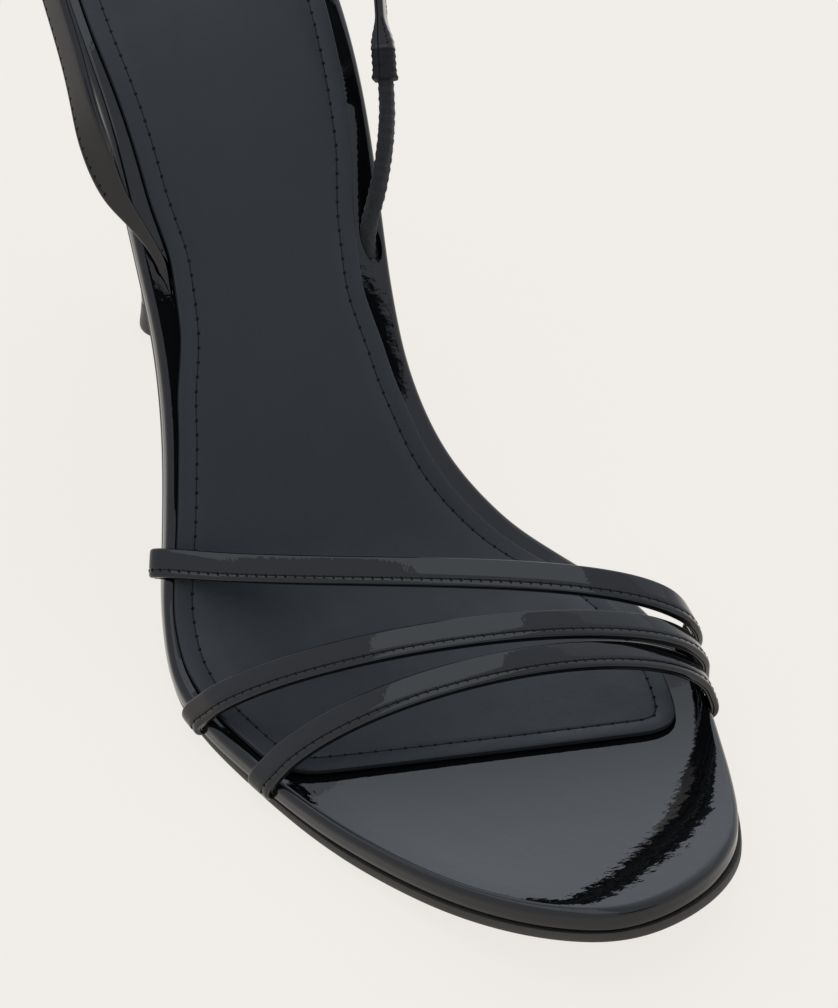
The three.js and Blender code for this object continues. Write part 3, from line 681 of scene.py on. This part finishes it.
def thread_and_shade_material(name, dark, light):
    """Matt twisted thread; also painted shade: near-black in each stitch hole, and on the sock's cut edge."""
    material, tree, shader = new_material(name)
    twist = bump(tree, noise(tree, 5200, 2), 0.6, 0.00008)
    shade = blend_colours(tree, noise(tree, 2400, 2), dark, light)
    roughness = span(tree, noise(tree, 900, 2), 0.6, 0.8)
    dress(tree, shader, shade, roughness, twist, {"Specular IOR Level": 0.2})
    return material


def elastic_material(name):
    """Matt woven elastic."""
    material, tree, shader = new_material(name)
    weave = bump(tree, noise(tree, 2300, 3, 0.6), 0.8, 0.0002)
    shade = blend_colours(tree, noise(tree, 1500, 4, 0.7), (0.0060, 0.0070, 0.0080), (0.0260, 0.0280, 0.0300))
    roughness = span(tree, noise(tree, 700, 3), 0.75, 0.95)
    dress(tree, shader, shade, roughness, weave, {"Specular IOR Level": 0.25, "Sheen Weight": 0.15})
    return material


def rubber(name):
    """Moulded rubber with a satin surface."""
    material, tree, shader = new_material(name)
    normal = bump(tree, noise(tree, 1100, 4, 0.6), 0.35, 0.00012)
    shade = blend_colours(tree, noise(tree, 400, 4), (0.010, 0.0105, 0.011), (0.018, 0.0185, 0.019))
    dress(tree, shader, shade, span(tree, noise(tree, 300, 4), 0.32, 0.5), normal)
    return material


PATENT = patent("patent_leather")
PATENT_HEEL = patent("heel_cover", ripple=0.5)
NAPPA = nappa("sock_leather")
SOLE = sole_leather("outsole_leather")
# The thread's colours, darker than the sock's, also paint shade on the sock's cut edge
THREAD_AND_EDGE_SHADE = thread_and_shade_material("thread", (0.0060, 0.0068, 0.0078), (0.0110, 0.0122, 0.0136))
# Near-black: painted shade for the beads at each stitch hole
HOLE_SHADE = thread_and_shade_material("stitch_hole_shade", (0.0010, 0.0010, 0.0012), (0.0018, 0.0018, 0.0020))
ELASTIC = elastic_material("elastic_cord")
RUBBER = rubber("top_piece")


def beads(places, t, n, length, radius, rise, sink, sides=8, steps=6):
    """Short rounded threads that lie along t on a surface with normal n, arched between their ends."""
    b = np.cross(n, t)
    x = np.linspace(-1, 1, steps + 1)
    swell = np.sqrt(np.clip(1 - x**4, 0.02, 1))
    angles = circle(sides)
    local = np.array([
        (0.5 * length * xi, radius * w * math.cos(a), radius * w * math.sin(a) + rise * (1 - xi * xi) - sink)
        for xi, w in zip(x, swell)
        for a in angles
    ])
    base_faces = [
        (r * sides + i, r * sides + (i + 1) % sides, (r + 1) * sides + (i + 1) % sides, (r + 1) * sides + i)
        for r in range(steps)
        for i in range(sides)
    ]
    base_faces.append(tuple(range(sides))[::-1])
    base_faces.append(tuple(range(steps * sides, (steps + 1) * sides)))
    verts = (
        places[:, None] + local[None, :, :1] * t[:, None] + local[None, :, 1:2] * b[:, None]
        + local[None, :, 2:] * n[:, None]
    )
    count = len(local)
    faces = [tuple(i + k * count for i in f) for k in range(len(places)) for f in base_faces]
    return verts.reshape(-1, 3), faces


def stitch_row(line, normals, step, closed=False, thread=0.1, hole=(0.5, 0.28), lift=0.18):
    """A row of stitches along a line on a surface: fine thread between dark, slanting beads, which are
    painted shade at each hole.

    A hole has a half length and a half width, and lies to one side of the line by its lift.
    """
    rows = resample(np.concatenate([line, normals], 1), step, closed=closed)
    p, n = rows[:, :3], unit(rows[:, 3:6])
    nxt = np.roll(p, -1, 0)
    if not closed:
        p, n, nxt = p[:-1], n[:-1], nxt[:-1]
    middle = (p + nxt) / 2
    t = unit(nxt - p)
    threads = beads(middle, t, square_to(n, t), step * THREAD_SHARE, thread, THREAD_RISE, THREAD_SINK)
    aside = np.cross(n, t)
    long, wide = hole
    slant = unit(t * HOLE_SLANT - aside)
    sunk = wide * HOLE_SINK
    # Dark beads at each stitch: painted shade of the hole
    hole_shades = beads(p - aside * lift, slant, square_to(n, slant), long * 2, wide, 0.0, sunk, steps=4)
    return [(*threads, 1), (*hole_shades, 2)]


def cut(piece, tools, sharp=38):
    """Takes the tools' volumes out of a piece for good."""
    for tool in tools:
        modifier = piece.modifiers.new("slot", "BOOLEAN")
        modifier.operation = "DIFFERENCE"
        modifier.solver = "EXACT"
        modifier.object = tool
    depsgraph = bpy.context.evaluated_depsgraph_get()
    mesh = bpy.data.meshes.new_from_object(piece.evaluated_get(depsgraph))
    piece.modifiers.clear()
    piece.data = mesh
    mesh.set_sharp_from_angle(angle=math.radians(sharp))
    for tool in tools:
        bpy.data.objects.remove(tool)


# The wrapped leather's normals at the toe lean as if it were slightly dished, which moves what its gloss
# mirrors; its shape is not dished. Degrees that its normals lean back and lean inward: at the dish's middle,
# then for one reach ahead, one reach inward, both, and the squares of each. Then the limits of both leans,
# where along X the dish starts and is in full, and how much a normal points up where the dish starts and is
# in full
DISH_MIDDLE = 40
DISH_REACH_AHEAD = 25
DISH_REACH_INWARD = 35
DISH_LEAN_BACK = (2.5, 3, 5, 2.5, -6.5, 0.5)
DISH_LEAN_INWARD = (9, 0.3, -17, 2, -0.6, -0.7)
DISH_BACK_LIMITS = (-7, 8)
DISH_INWARD_LIMITS = (-11, 24)
DISH_START = (6, 16)
DISH_FACES_UP = (0.8, 0.95)


def dish_toe(piece):
    """Leans the normals of the toe's upper face; its shape stays as it is."""
    mesh = piece.data
    normals = np.array([c.vector[:] for c in mesh.corner_normals])
    corners = np.array([loop.vertex_index for loop in mesh.loops])
    places = np.array([v.co[:] for v in mesh.vertices])[corners] / MM
    ahead = (places[:, 0] - DISH_MIDDLE) / DISH_REACH_AHEAD
    inward_reach = places[:, 1] / DISH_REACH_INWARD
    terms = np.stack([
        np.ones_like(ahead), ahead, inward_reach, ahead * inward_reach, ahead**2, inward_reach**2,
    ])
    flat = smoothstep(normals[:, 2], *DISH_FACES_UP) * smoothstep(places[:, 0], *DISH_START)
    back = np.radians(np.clip(DISH_LEAN_BACK @ terms, *DISH_BACK_LIMITS)) * flat
    aside = np.radians(np.clip(DISH_LEAN_INWARD @ terms, *DISH_INWARD_LIMITS)) * flat
    x, y, z = normals.T
    x, z = x * np.cos(back) - z * np.sin(back), x * np.sin(back) + z * np.cos(back)
    y, z = y * np.cos(aside) + z * np.sin(aside), z * np.cos(aside) - y * np.sin(aside)
    mesh.normals_split_custom_set(np.stack([x, y, z], 1).tolist())


# Sole: outsole, wrapped insole and stitched sock
def build_sole():
    outsole_edge = inset(insole_edge, -OUTSOLE_MARGIN * margin(OUTSOLE_BORDER, insole_edge))
    outsole_edge = soften(outsole_edge, 6, closed=True)
    breast = PROFILE - HEEL_SEAT_LENGTH - CLEARANCE
    plates = plate(outsole_edge, OUTSOLE_EDGE, back_end=breast)
    outsole = link("outsole_leather", [(*g, 0) for g in plates], [SOLE])
    stand_for(outsole, "outsole")

    wall_top = INSOLE_TOP - INSOLE_ROUNDED_HEIGHT
    layers = [(draw, INSOLE_BOTTOM + height) for draw, height in INSOLE_LOWER_EDGE]
    layers += round_layers(INSOLE_BOTTOM + INSOLE_WALL_FOOT, wall_top, 0, 3)
    layers += round_layers(wall_top, INSOLE_TOP, INSOLE_EDGE_REACH, 12)[1:]
    insole = link("insole_wrapped", [(*g, 0) for g in plate(insole_edge, layers, stations=400)], [PATENT])
    cut(insole, slot_tools())
    dish_toe(insole)
    stand_for(insole, "insole")

    edge = sock_outline()
    groove = SOCK_STITCH_INSET
    layers = [(0, SOCK_BOTTOM)]
    layers += [(draw, SOCK_TOP - depth) for draw, depth in SOCK_UPPER_EDGE]
    layers += [(groove + share * GROOVE_HALF, SOCK_TOP - depth) for share, depth in SOCK_GROOVE]
    row = resample(inset(edge, groove), OUTLINE_STEP, closed=True)
    line = bend(row[:, 0], row[:, 1], SOCK_TOP - SOCK_STITCH_DEPTH)
    normals = bend(row[:, 0], row[:, 1], SOCK_TOP + 1) - bend(row[:, 0], row[:, 1], SOCK_TOP)
    (verts, faces), *covers = plate(edge, layers, stations=360)
    around = len(faces) // (len(layers) - 1)
    # Its lower two bands of faces are the cut edge. They take the thread's darker colour: painted shade for
    # the dark line along the sock's edge
    groups = [(verts, faces[:2 * around], 1), (verts, faces[2 * around:], 0)] + [(*g, 0) for g in covers]
    groups += stitch_row(line, normals, SOCK_STITCH_STEP, closed=True, **SOCK_STITCHES)
    sock = link("sock_stitched", groups, [NAPPA, THREAD_AND_EDGE_SHADE, HOLE_SHADE])
    stand_for(sock, "sock")


# Forefoot straps: places of the feet along the profile, rise and reach of the arc's two handles, lean of the
# arc, dip of the strap's width, share of the arc over which it turns, and whether its outer foot bulges and
# comes up over the edge
STRAPS = {
    "rear": (0.4457, 0.2303, 0.061, 0.425, 0.461, 0.006, 22, 28, 0.22, True),
    "middle": (0.3152, 0.2058, 0.272, 0.115, 0.392, 0.023, 17, 18.5, 0.29, False),
    "front": (0.2414, 0.181, 0.283, 0.155, 0.279, 0.063, 4.3, 18, 0.3, False),
}

# Share of the arc that is left out at both ends, steps along a strap and its smoothing
ARC_SKIP = 1 / 13
STRAP_STEP = 0.35
STRAP_SMOOTHING = 2.4


def strap_foot(s, side, top_height, bulge=0.0):
    """Rows of place, across direction and thickness from under the insole up its wall."""
    reach = insole_sides.outer if side < 0 else insole_sides.inner
    along = unit([2, reach(s + 1) - reach(s - 1)])
    out = np.array([along[1], -along[0]]) * (1 if side < 0 else -1)
    y = reach(s)
    outside = STRAP_OUTSIDE
    low = INSOLE_BOTTOM + STRAP_SKIVE / 2
    to_toe = bend(s - along[0], y - along[1], low) - bend(s, y, low)

    def at(distance, h, thickness):
        return [*bend(s + out[0] * distance, y + out[1] * distance, h), *to_toe, thickness]

    rows = [at(-STRAP_TUCK, low, STRAP_SKIVE), at(-STRAP_TUCK / 2, low, STRAP_SKIVE)]
    rows.append(at(outside, low + (STRAP_THICKNESS - STRAP_SKIVE) / 2, STRAP_THICKNESS))
    if bulge:
        rows.append(at(outside + bulge, (low + top_height) / 2 + bulge / 2, STRAP_THICKNESS))
    rows.append(at(outside, top_height, STRAP_THICKNESS))
    return np.array(rows, float)


def strap_line(spec):
    """Rows of a whole strap: outer foot, arc and inner foot."""
    outer_at, inner_at, outer_rise, outer_reach, inner_rise, inner_reach, lean, dip, turn, bulges = spec
    on_wall = INSOLE_TOP - INSOLE_ROUNDED_HEIGHT * STRAP_LEAVES_AT
    over_edge = SOCK_TOP + STRAP_OUTSIDE
    top_height, bulge = (over_edge, STRAP_BULGE) if bulges else (on_wall, 0)
    outer = strap_foot(outer_at * PROFILE, -1, top_height, bulge)
    inner = strap_foot(inner_at * PROFILE, 1, on_wall)
    start, end = outer[-1, :3], inner[-1, :3]
    tilt = math.radians(lean)
    up = np.array([math.sin(tilt), 0, math.cos(tilt)]) * BALL_WIDTH
    over = unit(end - start) * BALL_WIDTH
    outer_handle = start + up * outer_rise + over * outer_reach
    inner_handle = end + up * inner_rise - over * inner_reach
    arc = bezier((start, outer_handle, inner_handle, end), 260)
    u = np.linspace(0, 1, len(arc))
    shown = (u >= ARC_SKIP) & (u <= 1 - ARC_SKIP)
    arc, u = arc[shown], u[shown]
    from_outer = np.clip(1 - u / turn, 0, 1)[:, None]
    from_inner = np.clip(1 - (1 - u) / turn, 0, 1)[:, None]
    fall = math.radians(dip)
    crown = np.array([math.cos(fall), 0, -math.sin(fall)])
    across = crown * (1 - from_outer - from_inner)
    across = across + unit(outer[0, 3:6]) * from_outer + unit(inner[0, 3:6]) * from_inner
    middle = np.concatenate([arc, across, np.full((len(arc), 1), STRAP_THICKNESS)], 1)
    rows = resample(np.concatenate([outer, middle, inner[::-1]]), STRAP_STEP)
    return soften(rows, STRAP_SMOOTHING)


def strap_section(width, thickness, groove_at, fold):
    """Closed section: a folded outer leather over a lining, with the line between them on both edges."""
    a, b = width / 2, thickness / 2
    fold = min(fold, b * 0.7)
    split = -b * STRAP_SEAM_AT
    turned = [math.radians(angle) for angle in np.linspace(180, 90, 7)]
    corner = [(fold * math.cos(angle), fold * math.sin(angle)) for angle in turned]
    points = [(x + fold - a, z + b - fold) for x, z in corner]
    if groove_at is None:
        top = [(x, 0.0) for x in np.linspace(fold - a, a - fold, 9)[1:-1]]
    else:
        g = a - groove_at
        top = [(x, 0.0) for x in np.linspace(fold - a, g - GROOVE_HALF, 7)[1:]]
        top += [(g - GROOVE_HALF / 2, 0.75), (g, 1.0), (g + GROOVE_HALF / 2, 0.75), (g + GROOVE_HALF, 0.0)]
    points += [(x, b + STRAP_CROWN * (1 - (x / a) ** 2) - GROOVE_DEPTH * dent) for x, dent in top]
    points += [(a - fold - x, z + b - fold) for x, z in corner[::-1]]
    edge = [(d, split + rise) for d, rise in STRAP_SEAM]
    edge += [(d, -b * share) for d, share in LINING_EDGE]
    points += [(a - d, v) for d, v in edge]
    points += [(x, -b) for x in np.linspace(a - LINING_INSET, LINING_INSET - a, 7)[1:-1]]
    points += [(d - a, v) for d, v in edge[::-1]]
    return np.array(points)


def band(rows, width, groove_at=None, fold=STRAP_FOLD):
    """Rings of a band along rows of place, across direction and thickness; also its directions."""
    place, thickness = rows[:, :3], rows[:, 6]
    w, n = directions(place, rows[:, 3:6])
    n = -unit(n)
    width, fold = (np.broadcast_to(v, thickness.shape) for v in (width, fold))
    rings = []
    for i in range(len(place)):
        section = strap_section(width[i], thickness[i], groove_at, fold[i])
        rings.append(place[i] + section[:, :1] * w[i] + section[:, 1:] * n[i])
    return rings, w, n


def build_straps():
    for name, spec in STRAPS.items():
        rows = strap_line(spec)
        rings, w, n = band(rows, STRAP_WIDTH, STRAP_STITCH_INSET)
        verts, faces = rings_skin(rings)
        line = rows[:, :3] + w * (STRAP_WIDTH / 2 - STRAP_STITCH_INSET)
        line += n * (STRAP_THICKNESS / 2 - STRAP_STITCH_DEPTH)
        shown = slice(STRAP_ENDS_PLAIN, len(rows) - STRAP_ENDS_PLAIN)
        groups = [(verts, faces, 0)]
        groups += stitch_row(line[shown], n[shown], STRAP_STITCH_STEP)
        strap = link(f"strap_{name}", groups, [PATENT, THREAD_AND_EDGE_SHADE, HOLE_SHADE])
        stand_for(strap, f"forefoot_strap_{name}")


# The slingback's loop: reach and rise as shares of the loop's, and the sideways place as a share of half
# its spread
LOOP = [
    (-0.05, -0.092, -0.69),
    (-0.01, -0.035, -0.693),
    (0.008, 0.009, -0.708),
    (0.02, 0.055, -0.762),
    (0.033, 0.104, -0.84),
    (0.055, 0.16, -0.93),
    (0.107, 0.255, -0.99),
    (0.2, 0.375, -1),
    (0.45, 0.585, -1),
    (0.7, 0.785, -0.92),
    (0.88, 0.923, -0.72),
    (0.973, 0.985, -0.4),
    (1, 1, 0),
    (0.973, 0.985, 0.4),
    (0.88, 0.923, 0.72),
    (0.7, 0.785, 0.915),
    (0.45, 0.565, 0.983),
    (0.28, 0.39, 0.924),
    (0.151, 0.248, 0.833),
    (0.096, 0.19, 0.787),
    (0.055, 0.143, 0.733),
    (0.027, 0.1, 0.68),
    (0.006, 0.054, 0.624),
    (-0.003, 0.012, 0.575),
    (-0.012, -0.02, 0.55),
    (-0.024, -0.067, 0.541),
]


def loop_rows():
    """The whole loop at even steps: share of its length, place and across direction."""
    slot = bend(SLOT_AT * PROFILE, 0, INSOLE_TOP)
    points = [
        (slot[0] - reach * SLING_REACH, LOOP_AXIS + side * SLING_SPREAD / 2, slot[2] + rise * SLING_RISE)
        for reach, rise, side in LOOP
    ]
    place = soften(resample(catmull(points, False, 30), 0.4), 3)
    t = unit(np.gradient(place, axis=0))
    inner = unit(np.stack([t[:, 1], -t[:, 0], np.zeros(len(t))], 1))
    lean = math.radians(SLING_LEAN)
    across = np.array([0, 0, math.cos(lean)]) + inner * math.sin(lean)
    lengths = path_lengths(place)
    return lengths / lengths[-1], place, across, lengths[-1]


def slot_tools():
    """The spaces that the slingback's two ends take in the insole, with room round them."""
    share, place, across, _ = loop_rows()
    w, n = directions(place, across)
    ends = [
        (share < SLOT_SHARE, SLING_ROOT_WIDTH, SLING_THICKNESS),
        (share > 1 - SLOT_SHARE, ELASTIC_ROOT_WIDTH, ELASTIC_THICKNESS),
    ]
    tools = []
    for chosen, width, thickness in ends:
        a, b = width / 2 + CLEARANCE, thickness / 2 + CLEARANCE
        angles = circle(24)
        u = squared(np.cos(angles), SLOT_POWER) * a
        v = squared(np.sin(angles), SLOT_POWER) * b
        rings = [
            p + u[:, None] * wi + v[:, None] * ni
            for p, wi, ni in zip(place[chosen], w[chosen], n[chosen])
        ]
        tools.append(link("slot_tool", [(*rings_skin(rings), 0)], [PATENT]))
    angles = circle(32)
    middle = LOOP_AXIS + SLOT_SIDE * SLING_SPREAD / 2 + SLIT_INWARD
    s = SLOT_AT * PROFILE - SLIT_AHEAD + SLIT_LENGTH / 2 * np.cos(angles)
    y = middle + SLIT_WIDTH / 2 * np.sin(angles)
    slit = [bend(s, y, h) for h in (INSOLE_BOTTOM + SLIT_FLOOR, INSOLE_TOP + 1)]
    tools.append(link("slot_tool", [(*rings_skin(slit), 0)], [PATENT]))
    return tools


def build_sling():
    share, place, across, length = loop_rows()
    sleeve = SLING_END_LENGTH / length
    on_strap = share <= SLING_END
    s = share[on_strap]
    root = smoothstep(s, SLING_FREE / 3, SLING_FREE)
    end = smoothstep(s, SLING_END - 2 * sleeve, SLING_END - sleeve)
    width = lerp(lerp(SLING_ROOT_WIDTH, SLING_WIDTH, root), SLING_END_WIDTH, end)
    thickness = lerp(SLING_THICKNESS, SLING_END_THICKNESS, end)
    before_end = (SLING_END - s) * length
    gather = end * GATHER_DEPTH * np.sin(2 * math.pi * before_end / GATHER_STEP)
    hem = HEM_SWELL * (1 - smoothstep(before_end, 0.5 * HEM_LENGTH, HEM_LENGTH))
    width = width * (1 + gather + hem)
    thickness = thickness * (1 + gather + hem)
    rows = np.concatenate([place[on_strap], across[on_strap], thickness[:, None]], 1)
    rings, w, n = band(rows, width, fold=lerp(STRAP_FOLD, SLING_END_THICKNESS / 2, end))
    verts, faces = rings_skin(rings)
    line = rows[:, :3] - w * (width / 2 - SLING_STITCH_INSET)[:, None]
    line += n * (thickness / 2 - SLING_STITCH_DEPTH)[:, None]
    shown = (s > SLING_FREE * 0.7) & (s < SLING_END - 2 * sleeve)
    plain = int(np.sum(before_end > SLING_END_LENGTH)) * len(rings[0])
    groups = [(verts, faces[:plain], 0), (verts, faces[plain:], 1)]
    groups += stitch_row(line[shown], n[shown], STRAP_STITCH_STEP)
    sling = link("slingback", groups, [PATENT, THREAD_AND_EDGE_SHADE, HOLE_SHADE])
    stand_for(sling, "slingback_strap")

    on_elastic = share >= SLING_END - ELASTIC_SEAT / length
    s = share[on_elastic]
    place, across = place[on_elastic], across[on_elastic]
    dense = resample(np.concatenate([place, across, s[:, None]], 1), ELASTIC_STEP)
    place, across, s = dense[:, :3], dense[:, 3:6], dense[:, 6]
    w, n = directions(place, across)
    width = lerp(ELASTIC_WIDTH, ELASTIC_ROOT_WIDTH, smoothstep(s, 1 - SLING_FREE, 1))
    angles = circle(28)
    loose = np.random.default_rng(7)
    rings = []
    for i in range(len(place)):
        # Ribs that wind round the cord, with a finer braid on them
        turn = 2 * math.pi * i * ELASTIC_STEP / ELASTIC_RIB
        ribs = np.cos(turn + angles) * (0.8 + 0.2 * math.cos(turn * RIB_BEAT))
        strands = angles * BRAID_STRANDS
        braid = np.cos(BRAID_TURNS * turn + strands) * np.cos(BRAID_TURNS * turn - strands)
        fibres = loose.normal(size=len(angles))
        swell = 1 + RIB_SWELL * ribs + BRAID_SWELL * braid + FIBRE_SWELL * fibres
        u = squared(np.cos(angles), ELASTIC_POWER) * width[i] / 2 * swell
        v = squared(np.sin(angles), ELASTIC_POWER) * ELASTIC_THICKNESS / 2 * swell
        rings.append(place[i] + u[:, None] * w[i] + v[:, None] * n[i])
    verts, faces = rings_skin(rings)
    elastic = link("elastic_braid", [(verts, faces, 0)], [ELASTIC], sharp=70)
    stand_for(elastic, "elastic")


# Heel sections: reach forward from the seat's back end and height of the back point, then of the front point,
# as shares of the seat's length and the heel's height; the width as a share of the seat's; how round it is
HEEL_ROWS = [
    (0.018, 0.955, 0.8, 0.772, 0.91, 0.05),
    (0.036, 0.893, 0.69, 0.705, 0.79, 0.12),
    (0.057, 0.815, 0.58, 0.63, 0.64, 0.22),
    (0.08, 0.72, 0.488, 0.54, 0.485, 0.35),
    (0.104, 0.605, 0.42, 0.45, 0.36, 0.5),
    (0.128, 0.47, 0.378, 0.35, 0.27, 0.6),
    (0.146, 0.33, 0.357, 0.255, 0.215, 0.7),
    (0.157, 0.195, 0.348, 0.155, 0.18, 0.8),
    (0.162, 0.11, 0.345, 0.095, 0.168, 0.85),
]

# The heel's tip: back and front reach, width and how round it is; then the points round a section
HEEL_TIP = (0.163, 0.345, 0.165, 0.9)
HEEL_AROUND = 96


def seat_x(share):
    return share * SEAT_LENGTH - HEEL_REACH


def section_angles():
    angles = circle(HEEL_AROUND)
    return np.cos(angles), np.sin(angles)


def heel_ring(back_x, back_z, front_x, front_z, width, roundness):
    c, s = section_angles()
    ahead = c > 0
    forward = squared(c, np.where(ahead, lerp(BREAST_POWER, 1, roundness), 1))
    aside = squared(s, lerp(np.where(ahead, BREAST_SIDE_POWER, BACK_SIDE_POWER), 1, roundness))
    x = (back_x + front_x) / 2 + forward * (front_x - back_x) / 2
    z = (back_z + front_z) / 2 + forward * (front_z - back_z) / 2
    return np.stack([x, HEEL_AXIS + aside * width / 2, z], 1)


def seat_ring():
    """The heel's uppermost section, under the outline of the seat."""
    c, s = section_angles()
    sides = Sides(inset(insole_edge, HEEL_INSET))
    length = sides.end - (PROFILE - HEEL_SEAT_LENGTH)
    forward = squared(c, np.where(c > 0, BREAST_POWER, SEAT_BACK_POWER))
    station = sides.end - length * (1 + forward) / 2
    outer, inner = sides.outer(station), sides.inner(station)
    middle = (outer + inner) / 2
    fill = np.where(c > 0, np.abs(s) ** BREAST_SIDE_POWER, 1.0)
    fill = np.where(np.abs(s) < 1e-9, 0, fill)
    return bend(station, lerp(middle, np.where(s > 0, inner, outer), fill), OUTSOLE_THICKNESS)


def build_heel():
    tip_top = TOP_PIECE_HEIGHT + CLEARANCE
    rows = [
        heel_ring(seat_x(b), bz * HEEL_HEIGHT, seat_x(f), fz * HEEL_HEIGHT, w * SEAT_WIDTH, r)
        for b, bz, f, fz, w, r in HEEL_ROWS
    ]
    back, front, width, roundness = HEEL_TIP
    bottom = heel_ring(seat_x(back), tip_top, seat_x(front), tip_top, width * SEAT_WIDTH, roundness)
    stack = np.array([seat_ring(), *rows, bottom])
    flat = catmull(stack.reshape(len(stack), -1), False, 10)
    rings = list(flat.reshape(len(flat), HEEL_AROUND, 3))
    centre = rings[-1].mean(0)
    rings.append(centre + (rings[-1] - centre) * HEEL_TIP_EDGE)
    centre = rings[0].mean(0)
    rings.insert(0, centre + (rings[0] - centre) * HEEL_SEAT_EDGE)
    heel = link("heel_covered", [(*rings_skin(rings), 0)], [PATENT_HEEL])
    stand_for(heel, "heel")

    def ring(z, out):
        across = width * SEAT_WIDTH + 2 * out
        return heel_ring(seat_x(back) - out, z, seat_x(front) + out, z, across, roundness)

    rings = [ring(z, out) for z, out in TOP_PIECE_SIDE]
    piece = link("heel_top_piece_moulded", [(*rings_skin(rings), 0)], [RUBBER])
    stand_for(piece, "heel_top_piece")


build_sole()
build_straps()
build_sling()
build_heel()


# Pale floor and soft studio light: how much of the floor's tone is its own glow, half the floor's length, the
# brightness all round, its tint, and the softboxes (place in metres, width and height, brightness added to
# the surroundings, and the turn of one that faces straight down)
FLOOR_GLOW = 0.9
FLOOR_HALF = 12.0
SURROUNDINGS = 0.75
LIGHT_TINT = (0.93, 1.0, 1.1)
SOFTBOXES = [
    ("softbox_back", (-1.9, 0.55, 0.85), (2.9, 1.6), 0.22, None),
    ("softbox_above", (-0.18, -0.14, 2.0), (2.4, 1.05), 0.5, -27),
    ("softbox_side", (-0.5, 1.6, 1.6), (1.6, 1.4), 0.14, None),
]

# A dark screen ahead of the toe, which gives the gloss its black accents: the slopes y/x and z/x of its
# middle, its half lengths as slopes, its turn in degrees, its brightness and the shares over which its edge
# fades
SCREEN_MIDDLE = (0.1, 0.575)
SCREEN_HALF = (0.46, 0.13)
SCREEN_TURN = -20
SCREEN_BRIGHTNESS = 0.03
SCREEN_EDGE = (0.93, 1.07)


def surroundings(tree):
    """Brightness of the surroundings: even, but for the dark screen."""
    way = add_node(tree, "ShaderNodeTexCoord").outputs["Generated"]
    parts = add_node(tree, "ShaderNodeSeparateXYZ", {"Vector": way}).outputs
    slopes = [
        add_node(tree, "ShaderNodeMath", {0: parts[axis], 1: parts["X"]}, operation="DIVIDE").outputs[0]
        for axis in ("Y", "Z")
    ]
    place = add_node(tree, "ShaderNodeCombineXYZ", {"X": slopes[0], "Y": slopes[1]}).outputs[0]
    inputs = {
        "Vector": place,
        "Location": (*SCREEN_MIDDLE, 0),
        "Rotation": (0, 0, math.radians(SCREEN_TURN)),
        "Scale": (*SCREEN_HALF, 1),
    }
    place = add_node(tree, "ShaderNodeMapping", inputs, vector_type="TEXTURE").outputs[0]
    away = add_node(tree, "ShaderNodeVectorMath", {0: place}, operation="LENGTH").outputs["Value"]
    return span(tree, away, SCREEN_BRIGHTNESS, SURROUNDINGS, *SCREEN_EDGE)


def build_stage():
    material, tree, shader = new_material("floor")
    shade = blend_colours(tree, noise(tree, 2, 2), (0.098, 0.087, 0.075), (0.102, 0.091, 0.079))
    tree.links.new(shade, shader.inputs["Base Color"])
    shader.inputs["Roughness"].default_value = 0.9
    shader.inputs["Specular IOR Level"].default_value = 0.0
    shader.inputs["Emission Color"].default_value = (0.887, 0.855, 0.815, 1)
    shader.inputs["Emission Strength"].default_value = FLOOR_GLOW
    half = FLOOR_HALF
    corners = [(-half, -half, 0), (half, -half, 0), (half, half, 0), (-half, half, 0)]
    mesh = bpy.data.meshes.new("floor")
    mesh.from_pydata(corners, [], [(0, 1, 2, 3)])
    mesh.materials.append(material)
    floor = bpy.data.objects.new("floor", mesh)
    bpy.context.scene.collection.objects.link(floor)

    world = bpy.data.worlds.new("studio")
    world.use_nodes = True
    background = world.node_tree.nodes["Background"]
    background.inputs["Color"].default_value = (*LIGHT_TINT, 1)
    world.node_tree.links.new(surroundings(world.node_tree), background.inputs["Strength"])
    bpy.context.scene.world = world

    for name, place, size, radiance, turn in SOFTBOXES:
        data = bpy.data.lights.new(name, "AREA")
        data.shape = "RECTANGLE"
        data.color = LIGHT_TINT
        data.size, data.size_y = size
        data.energy = 4 * radiance * size[0] * size[1]
        light = bpy.data.objects.new(name, data)
        light.location = place
        towards_shoe = (-light.location).to_track_quat("-Z", "Y").to_euler()
        light.rotation_euler = towards_shoe if turn is None else (0, 0, math.radians(turn))
        bpy.context.scene.collection.objects.link(light)
    bpy.context.scene.view_settings.view_transform = "Standard"


build_stage()
